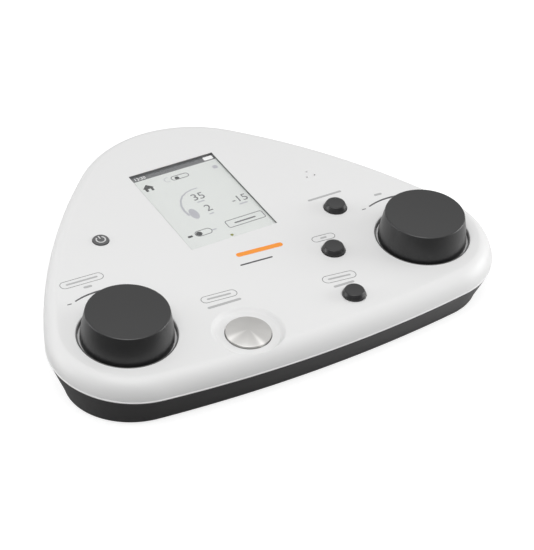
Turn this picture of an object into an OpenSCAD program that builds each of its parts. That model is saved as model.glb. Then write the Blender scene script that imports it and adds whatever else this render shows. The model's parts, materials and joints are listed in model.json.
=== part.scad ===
// Desktop hearing tester with two dials, a touch screen and a presentation button.
// Millimetres, +Z up. The origin is on the table, under the middle of the case; the front faces -Y.
// The panel slopes up to the back. What stands on it is drawn in panel space: see on_panel().

/* [Case outline] */
// Width of the case over the cover
case_w = 275.8; // [268.8:0.5:286.8]
// Depth of the case, front to back
case_d = 213.3; // [208.8:0.5:220.8]
// Radius of the two front corners
corner_r = 47; // [45:0.5:49]
// Radius of the rounded back
back_r = 75; // [72:0.5:78]
// Radius of the gently bowed front edge
front_bow_r = 739; // [600:1:1000]
// Radius of the gently bowed sides
side_bow_r = 356; // [320:1:420]
// Slope of the panel, rising to the back, in degrees
slope = 6.8; // [6:0.1:7.6]
// Height of the panel over the table, at the middle of the case
panel_h = 43.7; // [42.5:0.1:46]

/* [Top cover] */
// Wall of the cover
cover_t = 2.6; // [2.2:0.1:3]
// Depth of the cover, from the panel down to the seam
cover_drop = 11.8; // [10.8:0.1:12.2]
// Width of the rounding round the panel's edge
edge_round_w = 8.8; // [8:0.1:9.5]
// Height of the rounding round the panel's edge
edge_round_h = 13.6; // [12.5:0.1:15]
// How far the base's rim lies inside the cover's edge
rim_step = 0.6; // [0.3:0.1:0.9]

/* [Base] */
// Wall of the base
base_t = 2.6; // [2.2:0.1:3]
// How far the foot of the base's wall lies inside the cover's edge
base_taper = 8.6; // [7.6:0.5:10.6]
// Radius of the edge round the underside
base_round = 3.4; // [2.6:0.1:4.4]
// Height of the lip that guides the cover
lip_h = 2.5; // [1.5:0.1:3]
// Thickness of the lip
lip_t = 1.4; // [1:0.1:1.6]

/* [Feet] */
// Diameter of a foot
foot_d = 14; // [10:0.5:16]
// How far a foot stands out of the base
foot_out = 0.8; // [0.5:0.1:2]
// How deep a foot is let into the base
foot_let_in = 1; // [0.6:0.1:1.2]
// Distance between the front feet
foot_front_span = 176; // [160:1:182]
// Distance between the back feet
foot_back_span = 70; // [60:1:80]

/* [Dials] */
// Distance of each dial's axis from the side of the case
dial_side = 42.4; // [41.4:0.5:44.4]
// Distance of each dial's axis from the front of the case
dial_front = 49.3; // [48.3:0.1:51.8]
// Diameter of the well in the panel
well_d = 55; // [50:1:60]
// Gap between the dial and the wall of its well
knob_gap = 2; // [1.6:0.2:2.6]
// How far the dial's top edge lies inside its foot
knob_taper = 2.5; // [1.5:0.25:4]
// Height of the dial over the panel
knob_h = 15.8; // [14.5:0.1:17]
// Depth of the shallow dish in the dial's top
knob_dish = 1.1; // [0.6:0.1:1.6]
// Wall of the dial
knob_t = 2.2; // [1.8:0.1:2.6]
// Thickness of the floor of the well
seat_t = 2.4; // [2:0.1:3]
// Wall of the dark liner of the well
seal_t = 0.8; // [0.6:0.1:1]
// Diameter of the encoder's shaft
shaft_d = 6; // [5:0.5:6]
// Diameter of the encoder's threaded bush
bush_d = 9; // [8.5:0.5:9.5]
// Height of the encoder's bush over the floor of the well
bush_h = 4.2; // [4:0.1:4.6]
// Width of the encoder's body
encoder_w = 15; // [13:0.5:18]
// Height of the encoder's body
encoder_h = 7.4; // [6.5:0.1:8.5]

/* [Keys] */
// Diameter of the three domed keys
key_d = 13.4; // [13:0.1:14.2]
// Diameter of a key's flat top
key_top_d = 10.2; // [9:0.1:11]
// Height of a key over the panel
key_h = 3.4; // [2.5:0.1:4]
// Travel of a key
key_travel = 1.2; // [0.8:0.1:1.4]
// Place of the back key on the panel, right of the middle
back_key_x = 64.4; // [62.4:0.5:66.4]
// Distance of the back key from the front of the case
back_key_front = 93.35; // [91.35:0.25:95.35]
// Place of the middle key on the panel, right of the middle
middle_key_x = 42.2; // [41.2:0.1:45.7]
// Distance of the middle key from the front of the case
middle_key_front = 60.45; // [58.95:0.25:62.95]
// Place of the front key on the panel, right of the middle
front_key_x = 31.4; // [29.9:0.5:33.9]
// Distance of the front key from the front of the case
front_key_front = 22.35; // [21.35:0.25:24.35]

/* [Presentation button] */
// Diameter of the metal cap
stimulus_d = 25.2; // [24.2:0.2:26.2]
// Height of the cap's crown over the panel
stimulus_h = 0.9; // [0.5:0.1:1.5]
// Rise of the crown over the cap's own rim
stimulus_crown = 1.7; // [1.2:0.1:2]
// Travel of the button
stimulus_travel = 1.5; // [1:0.1:1.6]
// Diameter of the shallow dish round the button
dish_d = 41; // [38:0.5:42]
// Depth of the dish
dish_depth = 2; // [1.5:0.1:2.2]
// Place of the button on the panel, left of the middle
stimulus_left = 36.2; // [35.2:0.1:39]
// Distance of the button from the front of the case
stimulus_front = 22.45; // [21.45:0.1:24.45]
// Wire of the button's return spring
spring_wire = 0.7; // [0.5:0.1:0.9]
// Turns of the button's return spring
spring_turns = 5; // [4:1:6]

/* [Power key] */
// Diameter of the power key
power_d = 9.2; // [8.6:0.1:10.6]
// Height of the power key over the panel
power_h = 0.7; // [0.6:0.1:1.4]
// Travel of the power key
power_travel = 0.5; // [0.4:0.1:0.6]
// Place of the power key on the panel, left of the middle
power_left = 71.5; // [69:0.5:74]
// Place of the power key on the panel, behind the middle
power_back = 19.5; // [17:0.5:22]

/* [Screen] */
// Width of the window in the panel
window_w = 55.8; // [54:0.1:57]
// Length of the window in the panel
window_l = 76.2; // [75:0.1:79]
// Place of the window's middle, left of the middle
window_left = 1.5; // [0:0.1:3]
// Place of the window's middle, behind the middle
window_back = 27.3; // [26:0.1:29]
// Thickness of the cover's lip round the window
window_lip = 1; // [0.8:0.1:1.2]
// How far the touch glass reaches under the lip
glass_overlap = 3; // [2:0.5:4]
// Thickness of the touch glass
glass_t = 0.7; // [0.5:0.1:0.8]
// Thickness of the display
display_t = 3.6; // [3:0.1:4.5]
// Wall of the carrier that holds the display
carrier_t = 2; // [1.6:0.1:2.4]
// Width of the status light
led_w = 1.4; // [1:0.1:1.6]

/* [Microphone] */
// Diameter of each sound hole
mic_hole_d = 1.2; // [0.8:0.1:1.5]
// Radius of the ring on which the sound holes lie
mic_ring_r = 3; // [2.5:0.1:3.2]
// Diameter of the microphone
mic_d = 9.7; // [9.4:0.1:10.5]
// Length of the microphone
mic_l = 5; // [4:0.5:6]
// Place of the microphone, right of the middle
mic_right = 67.7; // [64:0.1:69]
// Place of the microphone, behind the middle
mic_back = 20.5; // [18:0.5:23]

/* [Electronics] */
// Thickness of the circuit boards
board_t = 1.6; // [1.2:0.2:2]
// How far the main board's edge lies inside the case's outline
board_inset = 9.4; // [8.4:0.5:10.4]
// Side of a push switch under a key
switch_w = 6.2; // [6:0.1:7.5]
// Height of a push switch's body
switch_h = 3.5; // [3.2:0.1:3.8]
// Diameter of a push switch's plunger
plunger_d = 3.4; // [3:0.1:3.6]
// Side of the processor
chip_w = 14; // [10:1:16]

/* [Rear sockets] */
// Number of audio sockets
jack_count = 5; // [3:1:5]
// Diameter of the plug that a socket takes
plug_d = 6.35; // [6:0.05:6.5]
// Diameter of a socket's threaded nose
jack_nose_d = 9; // [8.8:0.1:9.4]
// Length of a socket behind the plate
jack_l = 24; // [20:0.5:26]
// Width of the recess for the sockets
recess_w = 86; // [84:0.5:88]
// Height of the recess for the sockets
recess_h = 25; // [23:0.5:26]
// Depth of the recess, measured in from the back of the case
recess_d = 24.4; // [23.4:0.1:25.4]
// Thickness of the socket plate
plate_t = 2; // [1.5:0.1:2.5]
// Width of the data socket's mouth
usb_w = 8.6; // [8.4:0.1:9]
// Height of the data socket's mouth
usb_h = 7.8; // [7.4:0.1:8.2]

/* [Battery] */
// Width of the battery pack
battery_w = 70; // [60:0.5:74]
// Depth of the battery pack, front to back
battery_d = 38; // [34:0.5:40]
// Height of the battery pack
battery_h = 18.6; // [16:0.1:19]
// Thickness of the battery door
door_t = 2; // [1.6:0.1:2.2]
// Wall of the battery bay
bay_t = 1.6; // [1.2:0.1:2]

/* [Screws] */
// Diameter of the case screws
case_screw_d = 3; // [2.5:0.1:3.5]
// Diameter of the board screws
board_screw_d = 2.5; // [2:0.1:3]
// Diameter of the small screws of the socket plate and the battery door
small_screw_d = 2.2; // [2:0.1:2.5]

/* [Clearances] */
// Gap round a key, cap or plate in its opening
slide_gap = 0.3; // [0.2:0.05:0.4]
// Running clearance of a shaft or plunger, on the radius
run_gap = 0.05; // [0.02:0.01:0.08]
// Gap between pieces that are fixed to one another
fit_gap = 0.1; // [0.05:0.05:0.2]
// Gap at the seam between the cover and the base
seam_gap = 0.2; // [0.1:0.05:0.3]

/* [Hidden] */

$fn = 48;
rise = tan(slope);
over = 20;            // how far cutting shapes reach past what they cut
sink = 1;             // how far bosses are rooted in the wall that carries them

// Case outline: six arcs that run into one another, anticlockwise from the front left.
corner_x = case_w / 2 - corner_r;
front_centre = [0, front_bow_r - case_d / 2];
corner_y = front_centre.y - sqrt((front_bow_r - corner_r) ^ 2 - corner_x ^ 2);
back_centre = [0, case_d / 2 - back_r];
right_corner = [corner_x, corner_y];
right_centre = meeting(right_corner, side_bow_r - corner_r, back_centre, side_bow_r - back_r);
left_centre = [-right_centre.x, right_centre.y];
front_turn = atan(corner_x / (front_centre.y - corner_y));
side_start = angle_to(right_centre, right_corner);
side_end = angle_to(right_centre, back_centre);
arcs = [
    [front_centre, front_bow_r, -90 - front_turn, -90 + front_turn, 8],
    [right_corner, corner_r, -90 + front_turn, side_start, 14],
    [right_centre, side_bow_r, side_start, side_end, 8],
    [back_centre, back_r, side_end, 180 - side_end, 14],
    [left_centre, side_bow_r, 180 - side_end, 180 - side_start, 8],
    [[-corner_x, corner_y], corner_r, 180 - side_start, 270 - front_turn, 14]
];
outline = [for (a = arcs) for (i = [0 : a[4] - 1])
    let (t = a[2] + (a[3] - a[2]) * i / a[4]) [a[0].x, a[0].y, a[1], cos(t), sin(t)]];
count = len(outline);

// Heights that lean with the panel, as the height over the table at the middle of the case.
seam_h = panel_h - cover_drop;
// Levels that don't lean.
base_z = foot_out;
floor_z = base_z + base_t;

// Depths below the panel, measured along its normal.
seat_top = -cover_t;
seat_bottom = seat_top - seat_t;
board_top = seat_bottom - encoder_h;
board_bottom = board_top - board_t;

// Places on the panel, as [right of the middle, up the slope].
dial_x = case_w / 2 - dial_side;
dial_v = from_front(dial_front);
left_dial = [-dial_x, dial_v];
right_dial = [dial_x, dial_v];
back_key_at = [back_key_x, from_front(back_key_front)];
middle_key_at = [middle_key_x, from_front(middle_key_front)];
front_key_at = [front_key_x, from_front(front_key_front)];
key_places = [back_key_at, middle_key_at, front_key_at];
stimulus_at = [-stimulus_left, from_front(stimulus_front)];
power_at = [-power_left, up_slope(power_back)];
window_at = [-window_left, up_slope(window_back)];
mic_at = [mic_right, up_slope(mic_back)];

// Dials
seat_lap = 2.5;                            // how far the floor reaches under the panel round the well
seat_r = well_d / 2 + seat_lap;
knob_d = well_d - 2 * knob_gap;            // dial at the panel
knob_top_d = knob_d - 2 * knob_taper;
shaft_r = shaft_d / 2;
shaft_flat = 0.8;                          // depth of the flat on the shaft
nut_w = bush_d * 1.35;                     // across flats
nut_h = 2;
washer_t = 0.5;
washer_r = nut_w / 2 + 1;
knob_skirt = 2.2;                          // how far the dial reaches into the well
hub_r = shaft_r + 3;
hub_base = seat_top + bush_h + 0.4;        // the hub starts just over the bush
hub_top = knob_h - knob_dish - knob_t - 0.5;
shaft_end = hub_top - 1;
shaft_foot = board_top + 1;

// Keys and switches
key_hole_d = key_d + 2 * slide_gap;
flange_lap = 1.2;                          // how far a key's flange reaches past its hole
flange_t = 1;
key_flange_r = key_hole_d / 2 + flange_lap;
key_top_round = 0.5;
key_top_dip = 0.25;
switch_top = board_top + switch_h;
plunger_out = 1.9;                         // how far a plunger stands out of its switch
plunger_top = switch_top + plunger_out;
plunger_foot = 0.35;                       // room under a pressed plunger
stem_r = 2.4;

// Presentation button
dish_floor_r = stimulus_d / 2 + 4.4;
stimulus_hole_d = stimulus_d + 2 * slide_gap;
dish_boss_r = dish_floor_r + 0.3;
dish_under = -dish_depth - cover_t;        // underside of the wall below the dish
cap_rim = stimulus_h - stimulus_crown;     // height of the cap's rim over the panel
cap_t = 1.1;
carrier_lap = 0.9;
carrier_flange_r = stimulus_hole_d / 2 + carrier_lap;
carrier_flange_t = 1.1;
carrier_top = cap_rim - cap_t;
carrier_flange_top = dish_under - fit_gap;
carrier_stem_r = 3;
spring_r = carrier_stem_r + 3.4;
spring_foot = board_top;
spring_head = carrier_flange_top - carrier_flange_t;

// Power key
power_hole_d = power_d + 2 * slide_gap;
power_flange_r = power_hole_d / 2 + flange_lap;

// Screen
glass_w = window_w + 2 * glass_overlap;
glass_l = window_l + 2 * glass_overlap;
gasket_t = 0.2;                            // flange of the gasket, between the lip and the glass
gasket_edge = 0.35;                        // the gasket's edge, seen as the dark border of the window
gasket_top = -0.3;
glass_top = -window_lip - gasket_t;
display_top = glass_top - glass_t;
display_bottom = display_top - display_t;
pocket_gap = 0.4;
pocket_w = glass_w + 2 * pocket_gap;
pocket_l = glass_l + 2 * pocket_gap;
carrier_floor_t = 1.5;
led_t = 0.5;
led_from_edge = 3.3;                       // from the window's lower edge to the status light
led_at = [window_at.x, window_at.y - window_l / 2 + led_from_edge];
ribbon_w = 24;
ribbon_t = 0.3;
ribbon_reach = 10;                         // from the display's lower edge to where the ribbon goes down

// Microphone
boot_r = mic_d / 2 + 1.6;

// Screws
front_screw_in = 19.4;                     // how far the screws lie inside the case's edge
side_screw_in = 25.4;
back_screw_in = 21.4;
case_screw_spots = [
    spot(0, 0.14, front_screw_in), spot(0, 0.86, front_screw_in), spot(2, 0.36, side_screw_in),
    spot(4, 0.64, side_screw_in), spot(2, 0.86, back_screw_in), spot(4, 0.14, back_screw_in)
];
boss_room = 2;                             // room round a screw boss in the board
boss_split = 15;                           // where the base's posts meet the cover's bosses
boss_r = case_screw_d / 2 + 2.6;
post_r = case_screw_d / 2 + 3;
post_web = 4;
screw_head_r = case_screw_d * 0.95;
screw_head_h = case_screw_d * 0.8;
case_screw_bite = 9;
board_screw_spots = [
    board_at(0, -0.281), board_at(-0.21, -0.169), board_at(0.21, -0.169),
    board_at(-0.167, 0.169), board_at(0.1595, 0.169), board_at(0, 0.389)
];
board_boss_r = board_screw_d / 2 + 2.2;
processor_at = board_at(-0.225, -0.07);
converter_spots = [board_at(-0.145, -0.1875), board_at(0.051, -0.15)];
crystal_at = board_at(-0.2755, -0.07);
display_plug_at = board_at(-0.036, -0.1875);
chip_t = 1.4;
crystal_w = 5.4;
plug_h = 3;
plug_depth = 5;
board_screw_bite = 7;

// Feet
foot_back_out = 32;                        // back feet behind the centre of the back's arc
foot_back_y = back_centre.y + foot_back_out;
foot_spots = [
    [-foot_front_span / 2, corner_y], [foot_front_span / 2, corner_y],
    [-foot_back_span / 2, foot_back_y], [foot_back_span / 2, foot_back_y]
];

// Rear sockets
recess_y = case_d / 2 - recess_d;          // plane of the recess's back wall
recess_wall = 3;
block_front = 9;                           // depth of the block that carries the recess
recess_low = base_z + 8.2;
recess_mid = recess_low + recess_h / 2;
plate_w = recess_w - 2 * fit_gap;
plate_h = recess_h - 2 * fit_gap;
jack_h = 13;
hatch_w = recess_w - 5;                    // way through the recess's wall
jack_w = hatch_w * 4 / 27;
jack_side_gap = 0.7;                       // from the first socket to the hatch's side
hatch_h = jack_h + 1;
jack_nose_l = plate_t + 2.6;
jack_nut_r = jack_w / 2;
jack_nut_t = 2;
plug_gap = 0.075;
jack_bore_r = plug_d / 2 + plug_gap;
usb_wall = 0.8;
usb_x = hatch_w / 2 - 0.6 - usb_wall - usb_w / 2;
usb_to_jack = jack_w / 2 + 1.5 + usb_wall + usb_w / 2;
jack_first_x = -hatch_w / 2 + jack_side_gap + jack_w / 2;
jack_pitch = (usb_x - usb_to_jack - jack_first_x) / (jack_count - 1);
jack_xs = [for (i = [0 : jack_count - 1]) jack_first_x + i * jack_pitch];
jack_board_w = recess_w - 4;
jack_board_h = 18;
usb_l = 16;
usb_tongue_w = usb_w * 0.66;
usb_tongue_h = usb_h * 0.4;
usb_clear = 4.3;                           // from the socket's mouth to its tongue
plate_screw_inset = 2.8;

// Battery
battery_gap = 1;
bay_w = battery_w + 2 * battery_gap;
bay_d = battery_d + 2 * battery_gap;
door_rebate = 2;
door_w = bay_w + 2 * door_rebate;
door_d = bay_d + 2 * door_rebate;
battery_y = -5;
bay_top = base_z + door_t + battery_h + 0.6;
door_screw_y = battery_y - door_d / 2 - 3.6;
door_tab_r = 4.4;
door_boss_h = 9;

function angle_to(a, b) = atan2(b.y - a.y, b.x - a.x);
function up_slope(y) = y / cos(slope);
// Place up the slope of what lies at a distance from the front of the case.
function from_front(y) = up_slope(y - case_d / 2);
// A place on the board, given as shares of the case's width and depth from the middle.
function board_at(x, y) = [x * case_w, up_slope(y * case_d)];
// Where two circles cross, on the left of the way from the first centre to the second.
function meeting(a, ra, b, rb) =
    let (d = b - a, reach = norm(d), along = (ra ^ 2 - rb ^ 2 + reach ^ 2) / (2 * reach),
        aside = sqrt(ra ^ 2 - along ^ 2), u = d / reach)
    a + along * u + aside * [-u.y, u.x];
// A plan point at a share of an arc of the outline, set in from it.
function spot(arc, share, inset) =
    let (a = arcs[arc], t = a[2] + (a[3] - a[2]) * share)
    [a[0].x + (a[1] - inset) * cos(t), a[0].y + (a[1] - inset) * sin(t)];
// The outline set in by a distance. Its height leans with the panel when lean is 1.
function ring(inset, h, lean = 1) = [for (q = outline)
    let (y = q[1] + (q[2] - inset) * q[4]) [q[0] + (q[2] - inset) * q[3], y, h + lean * rise * y]];
function flat_outline(inset) = [for (p = ring(inset, 0, 0)) [p.x, p.y]];
function panel_z(y) = panel_h + rise * y;

// Joins rings of the outline, from one that looks up to one that looks down, into a closed solid.
module loft(rings) {
    last = len(rings) - 1;
    polyhedron(
        points = [for (r = rings) each r],
        faces = concat(
            [[for (i = [count - 1 : -1 : 0]) i]],
            [for (k = [0 : last - 1]) for (i = [0 : count - 1])
                let (a = k * count + i, b = k * count + (i + 1) % count)
                each [[a, b, b + count], [a, b + count, a + count]]],
            [[for (i = [0 : count - 1]) last * count + i]]
        )
    );
}

// Panel space: x to the right, y up the slope, z out of the panel.
module on_panel(at = [0, 0]) {
    translate([0, 0, panel_h]) rotate([slope, 0, 0]) translate([at.x, at.y, 0]) children();
}

module rod(r, low, high) {
    translate([0, 0, low]) cylinder(r = r, h = high - low);
}

module block(w, d, low, high) {
    translate([-w / 2, -d / 2, low]) cube([w, d, high - low]);
}

// A rod that lies along Y.
module rod_y(r, near, far) {
    translate([0, near, 0]) rotate([-90, 0, 0]) cylinder(r = r, h = far - near);
}

// ---- Case ----

round_start = asin((edge_round_h - cover_drop) / edge_round_h);
round_steps = 7;
cover_rings = concat(
    [for (i = [0 : round_steps]) let (t = 90 + (round_start - 90) * i / round_steps)
        ring(edge_round_w * (1 - cos(t)),
            panel_h - edge_round_h * (1 - sin(t)) + (i == round_steps ? seam_gap : 0))],
    [ring(cover_t, seam_h + seam_gap),
     ring(cover_t, seam_h + lip_h + 1),
     ring(cover_t + 0.8, panel_h - cover_t - 4.9),
     ring(edge_round_w + 0.5, panel_h - cover_t)]
);

module top_cover() {
    color("whitesmoke") difference() {
        union() {
            loft(cover_rings);
            cover_bosses();
        }
        on_panel(left_dial) rod(well_d / 2, -over, over);
        on_panel(right_dial) rod(well_d / 2, -over, over);
        for (at = key_places) on_panel(at) rod(key_hole_d / 2, -over, over);
        on_panel(power_at) rod(power_hole_d / 2, -over, over);
        on_panel(stimulus_at) {
            rod(stimulus_hole_d / 2, -over, over);
            rod(carrier_flange_r + slide_gap, -over, dish_under);
            dish();
        }
        on_panel(window_at) {
            block(window_w + 2 * gasket_edge, window_l + 2 * gasket_edge, -over, over);
            block(pocket_w, pocket_l, -over, -window_lip);
        }
        on_panel(mic_at) for (turn = [90 : 120 : 330])
            rotate([0, 0, turn]) translate([mic_ring_r, 0, 0]) rod(mic_hole_d / 2, -over, over);
        for (p = case_screw_spots) translate([p.x, p.y, 0])
            rod(case_screw_d / 2, 0, boss_split + case_screw_bite);
        for (at = board_screw_spots) on_panel(at)
            rod(board_screw_d / 2, board_top - sink, board_top + board_screw_bite);
    }
}

module cover_bosses() {
    for (p = case_screw_spots) translate([p.x, p.y, 0])
        rod(boss_r, boss_split, panel_z(p.y) - cover_t + sink);
    for (at = board_screw_spots) on_panel(at) rod(board_boss_r, board_top, sink - cover_t);
    on_panel(stimulus_at) rod(dish_boss_r, dish_under, -dish_depth - 0.3);
}

// What the dish takes out of the cover: flat round the button, then a soft slope up to the panel.
dish_steps = 5;
module dish() {
    rotate_extrude() polygon(concat(
        [[0, sink], [dish_d / 2, sink]],
        [for (i = [0 : dish_steps]) let (s = i / dish_steps)
            [dish_d / 2 + (dish_floor_r - dish_d / 2) * s, -dish_depth * (1 - cos(180 * s)) / 2]],
        [[0, -dish_depth]]
    ));
}

lip_out = cover_t + fit_gap * 2;
lip_in = lip_out + lip_t;
rim_bevel = 0.3;
foot_steps = 3;
base_outside = concat(
    [ring(rim_step + rim_bevel, seam_h), ring(rim_step, seam_h - rim_bevel)],
    [for (i = [0 : foot_steps]) let (t = 90 * i / foot_steps)
        ring(base_taper + base_round * (1 - cos(t)), base_z + base_round * (1 - sin(t)), 0)]
);
base_rings = concat(
    [ring(base_taper + base_round + 1, floor_z, 0), ring(base_taper + base_t, floor_z + base_t, 0),
     ring(lip_in, seam_h - 3), ring(lip_in, seam_h + lip_h), ring(lip_out, seam_h + lip_h),
     ring(lip_out, seam_h)],
    base_outside
);

module base_shell() {
    color("dimgray") difference() {
        union() {
            loft(base_rings);
            recess_block();
            screw_posts();
            battery_bay();
        }
        recess_cut();
        for (p = case_screw_spots) translate([p.x, p.y, 0]) {
            rod(case_screw_d / 2 + fit_gap, 0, over);
            rod(screw_head_r + 2 * fit_gap, 0, boss_split - post_web);
        }
        for (p = foot_spots) translate([p.x, p.y, 0]) rod(foot_d / 2 + fit_gap, 0, base_z + foot_let_in);
        translate([0, battery_y, 0]) {
            block(bay_w, bay_d, 0, bay_top);
            block(door_w, door_d, 0, base_z + door_t);
        }
        translate([0, door_screw_y, 0]) {
            rod(door_tab_r + fit_gap, 0, base_z + door_t);
            rod(small_screw_d / 2, 0, base_z + door_boss_h - 1);
        }
    }
}

module screw_posts() {
    for (p = case_screw_spots) translate([p.x, p.y, 0]) rod(post_r, base_z, boss_split);
}

// The box that holds the battery, and the boss of the door's screw.
module battery_bay() {
    translate([0, battery_y, 0]) block(bay_w + 2 * bay_t, bay_d + 2 * bay_t, base_z, bay_top + bay_t);
    translate([0, door_screw_y, 0]) rod(door_tab_r, base_z, base_z + door_boss_h);
}

module recess_block() {
    intersection() {
        loft(base_outside);
        translate([-recess_w / 2 - recess_wall, recess_y - block_front, base_z])
            cube([recess_w + 2 * recess_wall, case_d, recess_low + recess_h + recess_wall - base_z]);
    }
}

module recess_cut() {
    translate([0, recess_y, recess_mid]) {
        translate([-recess_w / 2, 0, -recess_h / 2]) cube([recess_w, recess_d + over, recess_h]);
        translate([-hatch_w / 2, -over, -hatch_h / 2]) cube([hatch_w, 2 * over, hatch_h]);
    }
    plate_screw_places() rod_y(small_screw_d / 2, -block_front + 2, 1);
}

module case_screws() {
    color("silver") for (p = case_screw_spots) translate([p.x, p.y, 0]) {
        rod(case_screw_d / 2 - run_gap, boss_split - post_web, boss_split + case_screw_bite - 1);
        difference() {
            rod(screw_head_r, boss_split - post_web - screw_head_h, boss_split - post_web);
            rod(screw_head_r * 0.45, 0, boss_split - post_web - screw_head_h / 2);
        }
    }
}

module feet() {
    color([0.12, 0.12, 0.12]) for (p = foot_spots) translate([p.x, p.y, 0])
        rod(foot_d / 2, 0, base_z + foot_let_in);
}

// ---- Screen ----

module window_gasket() {
    color([0.1, 0.1, 0.1]) on_panel(window_at) difference() {
        union() {
            block(window_w + 2 * gasket_edge, window_l + 2 * gasket_edge, glass_top, gasket_top);
            block(glass_w, glass_l, glass_top, -window_lip);
        }
        block(window_w, window_l, -over, over);
    }
}

module touch_glass() {
    color([0.85, 0.88, 0.87, 0.5]) on_panel(window_at) block(glass_w, glass_l, display_top, glass_top);
}

module display_panel() {
    color([0.88, 0.9, 0.88]) difference() {
        on_panel(window_at) block(glass_w, glass_l, display_bottom, display_top);
        on_panel(led_at) block(led_w, led_w, display_top - led_t, over);
    }
}

module status_led() {
    color("yellowgreen") on_panel(led_at) block(led_w, led_w, display_top - led_t, display_top);
}

module display_carrier() {
    slot_y = window_at.y - glass_l / 2 + ribbon_reach;
    color([0.2, 0.2, 0.2]) difference() {
        on_panel(window_at) difference() {
            block(pocket_w + 2 * carrier_t, pocket_l + 2 * carrier_t, board_top, seat_top);
            block(pocket_w, pocket_l, display_bottom, over);
            block(pocket_w, pocket_l, -over, display_bottom - carrier_floor_t);
        }
        on_panel([window_at.x, slot_y]) block(ribbon_w + 2, 3, -over, 0);
    }
}

// The flat cable that goes down from the display's underside to the main board.
module display_ribbon() {
    slot_y = window_at.y - glass_l / 2 + ribbon_reach;
    color("chocolate") on_panel([window_at.x, slot_y]) block(ribbon_w, ribbon_t, board_top, display_bottom);
}

// ---- Electronics ----

module main_board() {
    color("darkgreen") difference() {
        on_panel() translate([0, 0, board_bottom]) linear_extrude(board_t) polygon(flat_outline(board_inset));
        for (p = case_screw_spots) translate([p.x, p.y, 0]) rod(boss_r + boss_room, 0, 3 * over);
        for (at = board_screw_spots) on_panel(at) rod(board_screw_d / 2 + fit_gap, -over, 0);
    }
}

// Processor, two converters, the display's connector and a crystal.
module board_chips() {
    color([0.15, 0.15, 0.16]) {
        on_panel(processor_at) block(chip_w, chip_w, board_top, board_top + chip_t);
        for (at = converter_spots) on_panel(at) block(chip_w / 2, chip_w / 2, board_top, board_top + chip_t);
        on_panel(crystal_at) block(crystal_w, 2 * crystal_w, board_top, board_top + plug_h);
        on_panel(display_plug_at) block(ribbon_w + 2, plug_depth, board_top, board_top + plug_h);
    }
}

module board_screws() {
    color("silver") for (at = board_screw_spots) on_panel(at) {
        rod(board_screw_d / 2 - run_gap, board_bottom, board_top + board_screw_bite - 1);
        rod(board_screw_d, board_bottom - 1.8, board_bottom);
    }
}

module microphone() {
    color("silver") on_panel(mic_at) rod(mic_d / 2, seat_top - 1 - mic_l, seat_top - 1);
}

// Soft boot that holds the microphone between the cover and the board.
module microphone_boot() {
    color([0.1, 0.1, 0.1]) on_panel(mic_at) difference() {
        rod(boot_r, board_top, seat_top);
        rod(mic_d / 2, seat_top - 1 - mic_l, over);
    }
}

// ---- Dials ----

module dial_seat(at) {
    color("lightgray") on_panel(at) difference() {
        rod(seat_r, seat_bottom, seat_top);
        rod(bush_d / 2 + fit_gap, -over, over);
    }
}

module dial_seal(at) {
    color([0.15, 0.15, 0.15]) on_panel(at) difference() {
        rod(well_d / 2 - run_gap, seat_top, -0.2);
        rod(well_d / 2 - seal_t, -over, over);
    }
}

// Outside of the dial: a gently swelling taper, a small round at the top edge and a shallow dish.
knob_steps = 8;
knob_round = 0.9;
knob_side = [for (i = [0 : knob_steps]) let (s = i / knob_steps)
    [knob_d / 2 - (knob_d - knob_top_d) / 2 * s ^ 1.5, -knob_skirt + (knob_h - knob_round + knob_skirt) * s]];
knob_edge = [for (t = [30 : 30 : 90])
    [knob_top_d / 2 - knob_round * (1 - cos(t)), knob_h - knob_round * (1 - sin(t))]];
knob_face = [for (i = [1 : 4]) let (s = i / 4)
    [(knob_top_d / 2 - knob_round) * (1 - s), knob_h - knob_dish * (1 - (1 - s) ^ 2)]];

module knob(at) {
    ceiling = knob_h - knob_dish - knob_t;
    color([0.16, 0.16, 0.16]) on_panel(at) rotate_extrude($fn = 96) polygon(concat(
        knob_side, knob_edge, knob_face,
        [[0, hub_top + fit_gap], [hub_r + run_gap, hub_top + fit_gap], [hub_r + run_gap, hub_base],
         [hub_r + knob_t, hub_base], [hub_r + knob_t, ceiling], [knob_top_d / 2 - knob_t - 1, ceiling],
         [knob_d / 2 - knob_t - 0.6, -knob_skirt]]
    ));
}

module knob_hub(at) {
    color("goldenrod") on_panel(at) difference() {
        rod(hub_r, hub_base, hub_top);
        difference() {
            rod(shaft_r + run_gap, -over, shaft_end + fit_gap);
            shaft_cut(shaft_flat - run_gap);
        }
    }
}

module shaft_cut(depth) {
    translate([shaft_r - depth, -shaft_r - 1, hub_base - 0.2]) cube([shaft_d, shaft_d + 2, over]);
}

module encoder_shaft(at) {
    color("silver") on_panel(at) difference() {
        rod(shaft_r, shaft_foot, shaft_end);
        shaft_cut(shaft_flat);
    }
}

module encoder_bush(at) {
    color("silver") on_panel(at) difference() {
        rod(bush_d / 2, seat_bottom, seat_top + bush_h);
        rod(shaft_r + run_gap, -over, over);
    }
}

module encoder_washer(at) {
    color("silver") on_panel(at) difference() {
        rod(washer_r, seat_top, seat_top + washer_t);
        rod(bush_d / 2 + run_gap, -over, over);
    }
}

module encoder_nut(at) {
    color("silver") on_panel(at) difference() {
        translate([0, 0, seat_top + washer_t]) cylinder(d = nut_w / cos(30), h = nut_h, $fn = 6);
        rod(bush_d / 2 + run_gap, -over, over);
    }
}

module encoder_body(at) {
    color("darkslategray") on_panel(at) difference() {
        block(encoder_w, encoder_w, board_top, seat_bottom);
        rod(shaft_r + run_gap, shaft_foot - run_gap, over);
    }
}

// ---- Keys ----

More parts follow.
